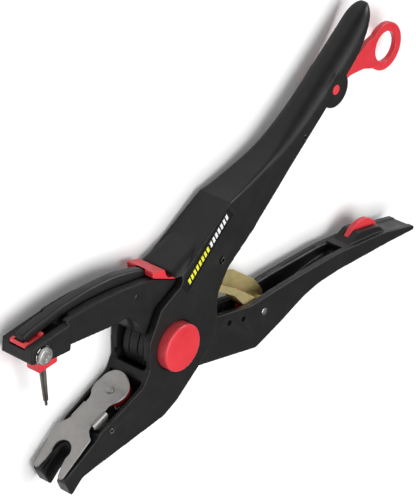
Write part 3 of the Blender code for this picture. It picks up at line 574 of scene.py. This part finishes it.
def make_frame():
    end = in_frame((0, 0), GRIP_ANGLE, [(SECTION_START, -10.4), (SECTION_START + 2.5, -10.2),
                                        (SECTION_START + 2.5, 19.9), (SECTION_START, 21.9)])
    body = plate("frame_skin", rounded([*end, *BODY]), 0, CHEEK_WIDTH)
    taper(body, GRIP_ANGLE, TAPER_START, SECTION_START, SECTION_HALF)
    taper(body, JAW_ANGLE, *JAW_TAPER, JAW_TIP_HALF)
    lip = snout()
    taper(lip, GRIP_ANGLE, TAPER_START, SECTION_START, SECTION_HALF)
    grip = loft("grip", [grip_section(row) for row in smooth_line(GRIP_STATIONS, 5)])
    boss = plate("ring_boss", [*arc(RING_BOSS, 11.7, 205, 385), (143.0, 114.5), (133.5, 106.0)],
                 *halves(9.6), 1.0)
    join(body, lip, grip, boss)

    cavity = rounded([(-9, 41.5), (1.0, 41.5), (9.0, 40.6, 4), (17, 44.0, 3), (39, 58.5, 4), (52, 60, 4),
                      (62, 36, 4), (80, 20), (60, -20), (16.5, -26.5), (8, -25.2, 4), (0, -20.0, 6),
                      (-12, -17.6, 6), (-19, -9.6, 2), (-30, -5.5), (-45, 18), (-45, 36)])
    hollow = in_frame((0, 0), GRIP_ANGLE, [(50, 9, 2), (60, 17, 2), (84, 15, 3), (104, 7.5, 6),
                                           (126, -0.5, 8), (162, -3.0, 4), (163, -20), (50, -20)])
    slot = in_frame(RING_AXIS, 0, [(-9.5, 7, 3), (4, 16, 2), (60, 24), (60, -30), (-2, -30), (-9.5, -8, 3)])
    pocket = rounded([(-14, -3), (-26.0, -11.4, 2), (-22.8, -20.5, 3), (-22.4, -29.5, 4), (-33, -33.5, 6),
                      (-46, -38.2, 4), (-57.6, -38.6, 3), (-60.6, -31.6), (-62, -20), (-40, 0)])
    cut(body, plate("cheek_cavity", cavity, *halves(CAVITY_HALF)),
        plate("grip_channel", rounded(hollow), *halves(6.4)),
        plate("ring_slot", rounded(slot), *halves(2.3)),
        plate("clip_pocket", pocket, *halves(11.9)),
        needle_slot(),
        pin("cap_recess", (0, 0), 28.3, 32, CAP_RADIUS + 0.6, steps=64),
        pin("head_recess", (0, 0), -1, 2.6, 9.4),
        pin("pivot_bore", (0, 0), -1, 31, PIVOT_BORE))
    body = moulding(body, 0.42, 9, 90000)
    for name, centre, radius in (("trip_bore", TRIP_PIN, 2.5), ("anchor_bore", SPRING_ANCHOR, 2.2),
                                 ("clip_bore", CLIP_AXIS, 2.1), ("ring_bore", RING_AXIS, 3.35)):
        cut(body, pin(name, centre, -1, 31, radius, steps=32))
    recess = plate("label_recess", rounded(label_outline(0.3), 30), 24, 32)
    tilt_to_hood(recess, -0.55)
    cut(body, recess)
    show(body, NYLON, "frame", "main_frame", slot="black_nylon")


def label_outline(grow):
    return in_frame(LABEL_ORIGIN, LABEL_ANGLE,
                    [(1.3 - grow, -3.3 - grow, 0.6), (52.7 + grow, -3.3 - grow, 0.6),
                     (52.7 + grow, 3.6 + grow, 0.6), (1.3 - grow, 3.6 + grow, 0.6)])


def tilt_to_hood(item, depth):
    """Moves a piece's bottom face to the tapered near side, plus depth outwards."""
    direction = unit(GRIP_ANGLE)
    fall = (MID - SECTION_HALF) / (SECTION_START - TAPER_START)
    low = min(v.co.z for v in item.data.vertices)
    for vertex in item.data.vertices:
        along = max(0.0, vertex.co.xy.dot(direction) / MM - TAPER_START)
        vertex.co.z += (CHEEK_WIDTH - fall * along + depth) * MM - low


DASH_PITCH, DASH_WIDTH, DASH_LEAN, DASH_HALF = 2.95, 1.9, 0.8, 1.75     # the label's slanted marks


def dash_outline(start):
    return [(start, -DASH_HALF), (start + DASH_WIDTH, -DASH_HALF),
            (start + DASH_WIDTH + DASH_LEAN, DASH_HALF), (start + DASH_LEAN, DASH_HALF)]


def make_label():
    strip = plate("label", rounded(label_outline(0), 30), 24, 24.35, 0.1)
    tilt_to_hood(strip, -0.45)
    rim = plate("label_rim", rounded(label_outline(0), 30), 24, 24.14,
                holes=[rounded(label_outline(-0.55), 30)])
    tilt_to_hood(rim, -0.12)
    join(strip, rim)
    show(strip, VINYL, "frame", "label_strip", slot="label_vinyl")
    for name, look, first, count in (("label_dashes_yellow", YELLOW_INK, 5.4, 8),
                                     ("label_dashes_white", WHITE_INK, 29.8, 7)):
        starts = [first + i * DASH_PITCH for i in range(count)]
        dashes = [plate(name, in_frame(LABEL_ORIGIN, LABEL_ANGLE, dash_outline(start)), 24, 24.1)
                  for start in starts]
        for dash in dashes:
            tilt_to_hood(dash, -0.11)
        show(gather(name, dashes), look, "frame")


# Pivot stack and pins

def make_pivot():
    cap = turned("cap", [(CAP_RADIUS - 3.0, CAP_TOP), (CAP_RADIUS - 1.2, CAP_TOP - 0.04),
                         (CAP_RADIUS - 0.6, CAP_TOP - 0.18), (CAP_RADIUS - 0.18, CAP_TOP - 0.6),
                         (CAP_RADIUS, CAP_TOP - 1.2), (CAP_RADIUS, 28.6)], steps=96)
    cut(cap, pin("cap_hollow", (0, 0), 20, CAP_TOP - 2.4, CAP_RADIUS - 2.0, steps=64))
    show(cap, RED, "frame", "pivot_cap", slot="red_plastic")
    bolt = turned("pivot_bolt_turned", [(4.4, 29.3), (4.9, 28.8), (4.9, 2.5), (8.5, 2.5), (9.0, 2.1),
                                        (9.0, 0.5), (8.85, 0.15), (8.5, 0.0), (6.6, 0.0), (6.4, 0.25),
                                        (6.1, 0.25), (5.9, 0.0)], steps=64)
    show(bolt, TURNED, "frame", "pivot_bolt", slot="bright_steel")
    for node in ("thrust_washer_1", "thrust_washer_2", "pivot_nut"):
        carry(node, BRIGHT)
    carry("pivot_bush", BRONZE)


def carry(node, look):
    """Keeps a CAD node as it is, with a finished material."""
    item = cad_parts[node]
    item.data.materials.clear()
    item.data.materials.append(look)


def rolled_pin(name, node, centre, low, high, radius, look, gap, turns, wall):
    """A rolled spring pin: sheet wound on itself, open in the middle; gap is where its outer end lies."""
    steps = round(turns * 40)
    shares = [i / steps for i in range(steps + 1)]
    rows = [(unit(gap + 360 * turns * share), radius - wall * 1.05 * turns * share) for share in shares]
    outer = [Vector(centre) + along * reach for along, reach in rows]
    inner = [Vector(centre) + along * (reach - wall) for along, reach in reversed(rows)]
    item = plate(name, [tuple(p) for p in outer + inner], low, high, 0.06, 1)
    show(item, look, "frame", node)


def make_pins():
    rolled_pin("trip_pin_rolled", "trip_pin", TRIP_PIN, 0.6, 28.75, 2.35, DARK_STEEL, 250, 1.9, 0.5)
    rolled_pin("anchor_pin_rolled", "spring_anchor_pin", SPRING_ANCHOR, *halves(10.0), 2.05, DARK_STEEL, 60,
               1.8, 0.45)
    rolled_pin("clip_pin_rolled", "clip_pin", CLIP_AXIS, *halves(MID - 0.6), 1.95, BRIGHT, 120, 0.97, 0.5)
    show(pin("ring_pin_head", RING_AXIS, *halves(9.6), 3.1, 0.3), RED, "frame", "ring_pin",
         slot="red_plastic")
    show(pin("link_pin_head", LINK_AXIS, *halves(9.9), 2.25, 0.35), BRIGHT, "lower_handle", "link_pin",
         slot="bright_steel")
    show(pin("jaw_pin_end", JAW_PIN, *halves(9.6), 1.35, 0.15), DARK_STEEL, "upper_jaw", "jaw_pin",
         slot="dark_steel")


# Lower handle

HANDLE_TOP = [(223.6, -17.6, 1.6), (191.8, -10.4, 60), (150, -6.4, 100), (106, -6.5, 80), (70, -7.9, 20),
              (40.5, -2.0, 10), (21.5, 9.5, 6), (14.0, 15.5, 3)]
HANDLE_BOTTOM = [(-2, -19.0, 3), (12.0, -24.6, 8), (32.5, -29.0, 12), (74.5, -38.0, 3), (80.5, -36.0, 8),
                 (98, -30.0, 60), (117, -22.4, 40), (131, -19.2, 40), (150, -18.2, 60), (197, -19.2, 80),
                 (223.9, -20.5, 0.9)]


def make_lower_handle():
    handle = plate("lower_handle_skin", rounded([*HANDLE_TOP, *HANDLE_BOTTOM], 4), *halves(HANDLE_HALF))
    join(handle, plate("ear_disc", circle((0, 0), EAR_RADIUS, 72), *halves(EAR_OUTER_HALF), 0.9))
    boss = rounded([(158.2, -12.5, 1), (163.5, -8.0, 4), (173.0, -3.0, 5), (192.5, -6.6, 7),
                    (201.5, -14.5, 3), (199, -17.5), (160, -16.5)])
    join(handle, plate("catch_boss", boss, *halves(6.2)))
    for name, side in (("ear_flank_near", 1), ("ear_flank_far", -1)):
        flank = rounded([(-25, -30), (8, -30), (12.5, -14.5, 3), (20.8, 0), (12.5, 14.5, 3), (8, 30),
                         (-25, 30)])
        cut(handle, plate(name, flank, *sorted((MID + side * EAR_OUTER_HALF, MID + side * 12))))
    cut(handle, plate("hub_gap", circle((0, 0), EAR_RADIUS + 2.0, 72), *halves(EAR_INNER_HALF)))
    channel = rounded([(13.4, 30), (13.4, -18.5, 2), (30, -24.5, 4), (70, -33.2, 6), (96, -26.6, 12),
                       (118, -18.6, 20), (140, -14.6, 20), (157.6, -13.4, 3), (157.6, 8)])
    cut(handle, plate("handle_channel", channel, *halves(CHANNEL_HALF)))
    ledge = rounded([(44, -4.6, 1), (70, -9.2, 20), (106, -7.8, 80), (150, -7.7, 60), (157.6, -8.4),
                     (157.6, 8), (44, 8)])
    cut(handle, plate("far_ledge", ledge, MID - 6.7, MID))
    groove = rounded([(200, -9.5, 2), (204, -13.9, 4), (224, -18.5), (232, -12), (210, -2)])
    cut(handle, plate("thumb_groove", groove, *halves(5.4)))
    line = rounded([(188, -10.6), (204, -13.0), (222, -17.1), (226, -14), (204, -6), (188, -5)])
    for side in (-1, 1):
        cut(handle, plate("end_line", line, *sorted((MID + side * 6.9, MID + side * 7.5))))
    cut(handle, pin("handle_bore", (0, 0), -1, 31, PIVOT_BORE),
        plate("catch_slot", arc(CATCH_CENTRE, 17.1, 10, 170), *halves(2.1)))
    handle = moulding(handle, 0.36, 8, 80000)
    cut(handle, pin("link_bore", LINK_AXIS, -1, 31, 2.4, steps=32))
    for index, hole in enumerate(ADJUST_HOLES):
        cut(handle, pin("adjust_hole_%d" % index, hole, -1, 31, 1.8, steps=32))
    show(handle, NYLON, "lower_handle", "lower_handle", slot="black_nylon")
    catch = plate("catch_segment", arc(CATCH_CENTRE, 16.7, 13, 167, 60), *halves(1.8), 0.6, 4)
    show(catch, RED, "lower_handle", "latch_catch", slot="red_plastic")


# Trip link: formed sheet, tall far cheek, web under it, low near cheek

def make_trip_link():
    tall = rounded([(25.5, 24.6, 2), (27.5, 33.5, 2.5), (44.0, 25.8, 2), (48.4, 16.6, 3), (52.9, 8.6, 3.2),
                    (58.4, 14.6, 2), (68.6, 12.2, 8), (88.2, -2.6, 10), (96.0, -13.0, 6), (96.3, -20.4, 1.5),
                    (79.0, -20.6, 6), (60.5, 1.2, 8), (40.0, 14.5, 10)])
    link = plate("trip_link_sheet", tall, *halves(5.2))
    trough = rounded([(20, 45), (20, 31, 1), (43, 16.8, 10), (63.5, 2.6, 8), (79.5, -17.9, 3), (99, -17.9),
                      (99, 45)])
    low_near = rounded([(20, 45), (20, 31), (36, 21), (62, 5.5, 6), (84, -11.5, 6), (99, -13.5), (99, 45)])
    window = in_frame(BLOCK_AT, BLOCK_ANGLE, [(-2.95, -2.25, 0.6), (7.75, -2.25, 0.6), (7.75, 1.85, 0.6),
                                          (-2.95, 1.85, 0.6)])
    cut(link, plate("link_trough", trough, MID - 4.2, MID + 4.2),
        plate("link_near_cut", low_near, MID + 1, MID + 9),
        plate("block_window", rounded(window), MID - 3.95, MID + 2.95),
        pin("link_eye", LINK_AXIS, -1, 31, 2.45))
    show(moulding(link, 0.2, 4, 30000), GOLD, "trip_link", "trip_link", slot="yellow_zinc_steel")
    bar = in_frame(BLOCK_AT, BLOCK_ANGLE, [(-2.6, -1.9, 0.6), (7.4, -1.9, 0.6), (7.4, 1.5, 0.6),
                                           (-2.6, 1.5, 0.6)])
    block = plate("trip_block_bar", rounded(bar), MID - 3.6, MID + 2.6, 0.4)
    groove = in_frame(BLOCK_AT, BLOCK_ANGLE, [(-2, 0.9, 0.2), (6.4, 0.9, 0.2), (6.4, 3), (-2, 3)])
    cut(block, plate("block_groove", rounded(groove), MID - 1.4, MID + 0.4))
    show(block, RED, "trip_link", "trip_block", slot="red_plastic")


# Upper jaw

ARM = [(-79.6, 48.9, 1), (-60.0, 50.0, 80), (-38.0, 48.9, 60), (-13.5, 45.6, 8), (2.0, 38.8, 6),
       (17.0, 34.5, 2), (21.0, 25.5, 2), (13.5, 20.5), (0, 16), (-14.5, 15.5), (-20.2, 12.6, 0.8),
       (-27.6, 30.2, 14), (-45.8, 30.3, 3), (-79.0, 33.4)]
NOSE = [(-78.0, 47.0), (-80.2, 46.7, 1), (-106.4, 43.6, 1.2), (-107.6, 34.8, 1.2), (-90.0, 31.6, 8),
        (-78.6, 30.9, 0.8), (-78.0, 33.6)]


def make_upper_jaw():
    jaw = plate("upper_jaw_skin", rounded(ARM, 4), *halves(ARM_HALF))
    cut(jaw, plate("ear_clearance", circle((0, 0), EAR_RADIUS + 0.7, 90), *halves(12)))
    hub = rounded([(-30, 34, 4), (-24.5, 18, 10), *arc((0, 0), EAR_RADIUS, 150, 400), (12, 24), (8, 34)])
    join(jaw, plate("jaw_hub", hub, *halves(HUB_HALF)), plate("nose", rounded(NOSE), *halves(11.35)))
    slot = rounded([(-72, 60), (-74, 48.5), (-79, 43.0, 2), (-79.6, 28), (-98, 28), (-105.8, 33.5),
                    (-105.0, 41.4, 1), (-112, 42.0), (-112, 60)])
    groove = rounded([(-76, 47.2), (-60, 48.6, 60), (-38.0, 47.4, 40), (-13.5, 44.2, 6), (3.5, 36.0),
                      (3.5, 60), (-76, 60)])
    cut(jaw, plate("nose_slot", slot, *halves(6.0)), plate("bar_groove", groove, *halves(BAR_GAP_HALF)),
        pin("jaw_bore", (0, 0), -1, 31, PIVOT_BORE))
    jaw = moulding(jaw, 0.34, 7, 70000)
    cut(jaw, pin("jaw_pin_bore", JAW_PIN, -1, 31, 1.5, steps=24),
        pin("nose_bore", NOSE_BOLT, -1, 31, 2.8, steps=32))
    show(jaw, NYLON, "upper_jaw", "upper_jaw", slot="black_nylon")


def make_top_bar():
    top = [(-13.5, 50.0, 30), (-34, 54.6, 60), (-55, 55.6, 60), (-78, 53.8, 40), (-100, 50.0, 30),
           (-105.2, 48.4, 2.4)]
    low = [(-105.0, 43.4, 0.8), (-78, 47.4, 40), (-60, 48.9, 60), (-38, 47.7, 40), (-13.7, 44.5, 6),
           (3.0, 37.3, 0.5)]
    bar = plate("top_bar_skin", rounded([(1.0, 40.9, 0.8), *top, *low], 3), *halves(BAR_HALF), 1.5, 6)
    cut(bar, pin("bar_bore", JAW_PIN, -1, 31, 1.6, steps=24))
    show(bar, NYLON, "upper_jaw", "top_bar", slot="black_nylon", sharp=50)


def make_saddle():
    outline = rounded([(-12.4, 46.0), (-12.7, 49.9, 0.8), (-2.9, 47.4, 0.8), (-1.6, 43.0, 0.8),
                       (0.2, 41.0, 0.8), (6.4, 40.2, 0.5), (5.6, 38.2), (1.5, 39.7), (-4.5, 42.3)])
    saddle = plate("saddle_skin", outline, *halves(ARM_HALF))
    inside = rounded([(-20, 30), (-20, 44.0), (-14.0, 46.6, 0), (-2.5, 41.6), (6.0, 37.4), (10, 30)])
    rail = rounded([(-20, 40), (-20, 51.9, 0), (-13.5, 50.3, 10), (2.7, 41.4), (9, 41), (9, 30)])
    cut(saddle, plate("saddle_seat", inside, *halves(20)),
        plate("saddle_rail_gap", rail, *halves(BAR_GAP_HALF)))
    show(moulding(saddle, 0.22, 4, 20000), RED, "upper_jaw", "stop_saddle", slot="red_plastic")


def make_nose_fittings():
    bolt = turned("nose_bolt_turned", [(1.75, 28.78), (1.9, 28.98), (3.0, 28.98), (3.15, 28.78),
                                       (3.3, 28.98), (4.25, 28.98), (4.6, 28.85), (4.8, 28.5), (4.8, 27.2),
                                       (4.55, 27.0), (2.6, 27.0), (2.6, 3.0), (3.6, 3.0), (3.6, 1.5),
                                       (3.2, 1.1)], NOSE_BOLT, steps=64)
    show(bolt, TURNED, "upper_jaw", "nose_bolt", slot="bright_steel")
    washer = plate("nose_clip_washer", arc(NOSE_BOLT, 5.55, 115, 425), 26.3, 26.75, 0.12, 2)
    bite = plate("clip_bite", [*arc(NOSE_BOLT, 2.85, 20, 350), (NOSE_BOLT[0] + 1, NOSE_BOLT[1] + 1)], 20, 30)
    mouth = in_frame(NOSE_BOLT, 90, [(0, -1.4), (9, -2.6), (9, 2.6), (0, 1.4)])
    cut(washer, bite, plate("clip_mouth", mouth, 20, 30))
    for angle in (30, 150, 270):
        at = Vector(NOSE_BOLT) + unit(angle) * 4.9
        cut(washer, pin("clip_hole", tuple(at), 20, 30, 0.85, steps=20))
    show(washer, BRIGHT, "upper_jaw", "nose_washer", slot="bright_steel")

    seat = rounded([(-106.6, 42.5, 0.4), (-106.3, 44.7, 0.5), (-103.6, 45.0, 0.4), (-103.2, 43.9, 0.4),
                    (-95.4, 44.5, 0.4), (-95.0, 46.2, 0.4), (-92.6, 46.6, 0.6), (-92.2, 42.5, 0.4)], 15)
    shoe = plate("bar_shoe_skin", seat, *halves(5.7), 0.25)
    gap = rounded([(-105.6, 43.0), (-90, 45.3), (-90, 60), (-105.6, 60)])
    cut(shoe, plate("shoe_gap", gap, *halves(BAR_GAP_HALF)))
    show(shoe, RED, "upper_jaw", "bar_shoe", slot="red_plastic")


# Needle carrier

def make_carrier():
    block = rounded([(-96.0, 21.6, 1), (-81.9, 22.9, 1), (-82.3, 30.5, 1.5), (-90, 33.0), (-94.6, 40.0),
                     (-98, 40.0), (-96.0, 33.4)])
    carrier = plate("carrier_skin", block, *halves(4.7), 0.6, 4)
    join(carrier, plate("carrier_disc", circle(NOSE_BOLT, 4.5), *halves(4.7), 0.4))
    base = (*NEEDLE_BASE, MID)
    cut(carrier, pin("carrier_bore", NOSE_BOLT, -1, 31, 2.75),
        turned("needle_seat", [(2.1, 10.0), (2.1, -0.4)], angle=NEEDLE_ANGLE, base=base))
    show(moulding(carrier, 0.22, 4, 24000), RED, "needle_carrier", "needle_carrier", slot="red_plastic")
    needle = turned("needle_turned", [(0.25, 27.6), (0.62, 27.45), (0.8, 27.1), (0.82, 24.7), (1.1, 24.3),
                                      (1.38, 24.0), (1.46, 23.4), (1.9, 6.5), (1.9, 0.0)],
                    angle=NEEDLE_ANGLE, base=base, steps=40)
    show(needle, NEEDLE_STEEL, "needle_carrier", "needle", slot="dark_steel")


# Tag clip

CLIP_REAR, CLIP_FORK = 200.8, 217.8
CLIP_BEND, RIVET = Vector((-64.2, -27.9)), Vector((-37.9, -17.9))
BEND_AT = (CLIP_BEND - RIVET).length
CLIP_THICKNESS = 1.2
CLIP_BODY = (13.2, 24.6)    # where the flanges start and end, from the rivet
CLIP_EAR = (8.0, 9.0)       # near and far face of an ear, from the centre plane
PAD_SHIFT = -0.5            # the pad sits slightly to the far side
CURL_AT, CURL_ANGLE, CURL_LENGTH = -2.6, 27.0, 3.0      # the pad's rear end bends up behind the rivet
BUTTON_AT = -3.2
CLIP_SPRING_AT = -2.6


def clip_point(t, w, depth):
    """A point of the clip: t from the rivet towards the fork, w across, depth below the top."""
    if t < CURL_AT:
        steps = [(CURL_AT - t) * i / 8 for i in range(9)]
        flat = RIVET + unit(CLIP_REAR) * CURL_AT
        angle = CLIP_REAR
        for first, second in zip(steps, steps[1:]):
            angle = CLIP_REAR + CURL_ANGLE * min(1, (first + second) / 2 / CURL_LENGTH)
            flat -= unit(angle) * (second - first)
        flat += unit(angle + 90) * depth
    elif t < BEND_AT - 1e-6:
        flat = RIVET + unit(CLIP_REAR) * t + unit(CLIP_REAR + 90) * depth
    elif t > BEND_AT + 1e-6:
        flat = CLIP_BEND + unit(CLIP_FORK) * (t - BEND_AT) + unit(CLIP_FORK + 90) * depth
    else:
        middle = (CLIP_REAR + CLIP_FORK) / 2
        flat = CLIP_BEND + unit(middle + 90) * depth / math.cos(math.radians(CLIP_FORK - middle))
    return Vector((flat.x, flat.y, MID + w)) * MM


def clip_outline():
    """The clip's flat outline, (along, across) from the rivet: pad, neck, body and fork."""
    start, end = CLIP_BODY
    tip = BEND_AT + 31.0
    half = [*[(-0.5 + x * 1.09 if x < 0 else x - 0.5, y) for x, y in arc((0, 0), 11.0, 180, 47)], (8.6, 7.3),
            (9.6, 7.1), (start, 7.1), (end, 7.1), (end + 0.8, 7.6), (BEND_AT - 0.6, 8.2), (BEND_AT, 8.6),
            (BEND_AT + 2.0, 10.2), (BEND_AT + 3.6, 12.2), (BEND_AT + 4.6, 12.9), (BEND_AT + 6.0, 12.8)]
    half += [(x, y) for x, y in arc((tip - 1.9, 9.2), 1.9, 80, -75)]
    half += [(BEND_AT + 25.0, 6.1), (BEND_AT + 20.0, 5.5), *arc((BEND_AT + 16.3, 0), 6.1, 64, 176, 14),
             (BEND_AT + 10.2, 0)]
    return half + [(t, -w) for t, w in reversed(half) if abs(w) > 1e-6]


def make_clip():
    work = bmesh.new()
    work.faces.new([work.verts.new((t * MM, w * MM, 0)) for t, w in clip_outline()])
    for t in (BEND_AT, *[CURL_AT - CURL_LENGTH * i / 6 for i in range(7)]):
        bmesh.ops.bisect_plane(work, geom=work.verts[:] + work.edges[:] + work.faces[:], dist=1e-7,
                               plane_co=(t * MM, 0, 0), plane_no=(1, 0, 0))
    for vertex in work.verts:
        shift = PAD_SHIFT * min(1.0, max(0.0, (13 - vertex.co.x / MM) / 5))
        vertex.co = clip_point(vertex.co.x / MM, vertex.co.y / MM + shift, 0)
    clip = from_bmesh("clip_sheet", work)
    thick = clip.modifiers.new("sheet", "SOLIDIFY")
    thick.thickness = CLIP_THICKNESS * MM
    thick.offset = -1 if clip.data.polygons[0].normal.y > 0 else 1
    thick.use_even_offset = True
    clip = evaluated(clip)
    up, down, top = CLIP_REAR - 90, CLIP_REAR + 90, (*RIVET, MID)
    cut(clip, turned("rivet_hole", [(1.75, 6), (1.75, -6)], angle=up, base=top))
    clip = evaluated(clip)
    rim = clip.modifiers.new("rim", "BEVEL")
    rim.width = 0.28 * MM
    rim.segments = 2
    rim.limit_method = "ANGLE"
    rim.angle_limit = math.radians(50)
    clip = evaluated(clip)
    show(clip, STAINLESS, "tag_clip", "clip_plate", slot="satin_stainless", sharp=12)

    for name, side in (("clip_flange_near", 1), ("clip_flange_far", -1)):
        show(clip_flange(name, side), STAINLESS, "tag_clip", slot="satin_stainless")

    rivet = turned("rivet_turned", [(1.9, 0.95), (2.1, 0.88), (2.2, 0.7), (2.25, 0.4), (2.25, 0.02),
                                    (1.55, 0.02), (1.55, -3.4)], angle=up, base=top, steps=40)
    show(rivet, STAINLESS, "tag_clip", "clip_rivet", slot="bright_steel")
    under = (*(RIVET + unit(CLIP_REAR) * BUTTON_AT + unit(down) * (CLIP_THICKNESS + 0.3)), MID)
    button = turned("button_turned", [(7.8, 6.2), (8.4, 6.0), (8.6, 5.6), (8.6, 3.4), (8.25, 3.2),
                                      (8.25, 2.8), (8.6, 2.6), (8.6, 0.3), (8.3, 0.0)], angle=down,
                    base=under)
    cut(button, turned("button_bore", [(1.75, 8), (1.75, -4)], angle=down, base=top),
        turned("spring_seat", [(5.0, 9.0), (5.0, 4.6)], angle=down, base=under))
    # The button gets the darker red: painted shade under the clip pad, not a different plastic
    show(button, RED_BUTTON_PAINTED_SHADE, "tag_clip", "clip_button", slot="red_plastic")


def clip_flange(name, side):
    """An ear of the clip: a rolled shoulder along the edge, then a flat cheek down to the roll pin."""
    near, far = CLIP_EAR
    roll, inner = 1.85, 0.85
    profile = [[(far - roll + radius * math.sin(math.radians(a)), roll - radius * math.cos(math.radians(a)))
                for a in range(0, 91, 9)] for radius in (roll, inner)]
    outer = [(6.6, 0), *profile[0], (far, 3.4)]
    back = [(near, 3.4), *reversed(profile[1]), (6.6, roll - inner)]
    sections = [[tuple(clip_point(t, side * w, d) / MM) for w, d in outer + back] for t in CLIP_BODY]
    flange = loft(name, sections)
    start, end = [clip_point(t, 0, 2.8).xy / MM for t in (CLIP_BODY[0] + 0.4, CLIP_BODY[1] - 0.3)]
    ear = rounded([tuple(start), tuple(end), (CLIP_AXIS[0] - 3.4, CLIP_AXIS[1] - 0.5, 2.4),
                   (CLIP_AXIS[0], CLIP_AXIS[1] - 3.6, 3.2), (CLIP_AXIS[0] + 3.6, CLIP_AXIS[1], 2.4)])
    join(flange, plate(name + "_ear", ear, *sorted((MID + side * near, MID + side * far)), 0.15, 2))
    cut(flange, pin("flange_eye", CLIP_AXIS, -1, 31, 2.1))
    return flange


# Ring latch and springs

def make_ring_latch():
    lever = [*arc(RING_AXIS, 6.6, 110, 290), (152.5, 97.7), (166.0, 102.5), (178.5, 102.3), (184.6, 100.2),
             *arc(RING_CENTRE, 14.9, 222, 498), (182.0, 118.6), (171.5, 112.6), (158.0, 108.4),
             (150.0, 109.2)]
    ring = plate("ring_lever", lever, *halves(1.8), 0.55, 4,
                 holes=[circle(RING_CENTRE, 9.5, 64), circle(RING_AXIS, 3.3, 32)])
    ticks = []
    for angle in range(28, 358, 15):
        if 170 < angle < 205:
            continue
        at = Vector(RING_CENTRE) + unit(angle) * 12.2
        mark = rounded(in_frame(tuple(at), angle, [(-1.15, -0.28, 0.25), (1.15, -0.28, 0.25),
                                                   (1.15, 0.28, 0.25), (-1.15, 0.28, 0.25)]), 30)
        ticks.append(plate("tick", mark, MID + 1.5, MID + 2.08, 0.08, 2))
        ticks.append(plate("tick", mark, MID - 2.08, MID - 1.5, 0.08, 2))
    ring = gather("ring_lever_marked", [ring, *ticks])
    show(ring, RED, "ring_latch", "ring_latch", slot="red_plastic")


def make_springs():
    down = unit(CLIP_REAR + 90)
    seat = RIVET + unit(CLIP_REAR) * CLIP_SPRING_AT + down * 6.8
    clip_spring = wire("clip_spring_wire", coil((seat.x, seat.y, MID), (down.x, down.y, 0), 3.8, 5, 1.65),
                       0.45)
    show(clip_spring, BRIGHT, "frame", "clip_spring", slot="bright_steel")
    direction = unit(GRIP_ANGLE + 3.0)
    start = Vector(SPRING_ANCHOR) - direction * 9
    body = coil((start.x, start.y, MID), (-direction.x, -direction.y, 0), 2.9, 13, 2.3)
    hook = [(*p, MID) for p in arc(SPRING_ANCHOR, 3.1, GRIP_ANGLE + 60, GRIP_ANGLE - 130, 16)]
    show(wire("return_spring_wire", hook + body, 0.6), BRIGHT, "frame", "jaw_return_spring",
         slot="bright_steel")


# Floor, light and camera

def make_stage():
    bpy.ops.mesh.primitive_plane_add(size=12, location=(0, 0, -0.0004))
    floor = bpy.context.object
    floor.name = "floor"
    n = Nodes("pale_floor")
    n.link(n.ramp(n.noise(3, 2, 0.5), (0.3, (0.90, 0.90, 0.90)), (0.7, (0.93, 0.93, 0.93))),
           n.shader.inputs["Base Color"])
    n.shader.inputs["Roughness"].default_value = 0.9
    n.shader.inputs["Specular IOR Level"].default_value = 0.0
    n.shader.inputs["Emission Color"].default_value = (1.0, 1.0, 1.0, 1.0)
    n.shader.inputs["Emission Strength"].default_value = 0.12
    floor.data.materials.append(n.material)

    world = bpy.data.worlds.new("studio")
    world.use_nodes = True
    back = world.node_tree.nodes["Background"]
    back.inputs["Color"].default_value = (1.0, 1.0, 1.0, 1.0)
    back.inputs["Strength"].default_value = 0.17
    bpy.context.scene.world = world

    # Places and sizes in metres, power in watts
    target = Vector((0.03, 0.03, 0.015))
    for name, place, size, power in (("key", (0.05, 0.02, 1.60), 1.4, 27.0),
                                     ("fill", (-1.0, 0.1, 0.7), 0.5, 2.2),
                                     ("edge", (0.93, 0.80, 0.68), 0.40, 14.0)):
        light = bpy.data.lights.new(name, "AREA")
        light.shape = "SQUARE"
        light.size = size
        light.energy = power
        lamp = link_object(bpy.data.objects.new(name, light))
        lamp.location = place
        lamp.visible_diffuse = name != "edge"      # the edge light only glints on rounded edges
        lamp.rotation_euler = (target - Vector(place)).to_track_quat("-Z", "Y").to_euler()


def make_camera():
    right, up, back = (0.66632, -0.00026, 0.74567), (0.36493, 0.87217, -0.32580), (-0.65027, 0.48920, 0.58124)
    place = (-0.87169, 0.72650, 0.83265)
    camera = bpy.data.cameras.new("photo_view")
    camera.lens = 181.45
    camera.sensor_width = camera.sensor_height = 36
    camera.clip_start, camera.clip_end = 0.1, 20
    item = link_object(bpy.data.objects.new("photo_view", camera))
    item.matrix_world = Matrix([(right[i], up[i], back[i], place[i]) for i in range(3)] + [(0, 0, 0, 1)])
    bpy.context.scene.camera = item
    bpy.context.scene.view_settings.view_transform = "Standard"


make_frame()
make_label()
make_pivot()
make_pins()
make_lower_handle()
make_trip_link()
make_upper_jaw()
make_top_bar()
make_saddle()
make_nose_fittings()
make_carrier()
make_clip()
make_ring_latch()
make_springs()
make_stage()
make_camera()
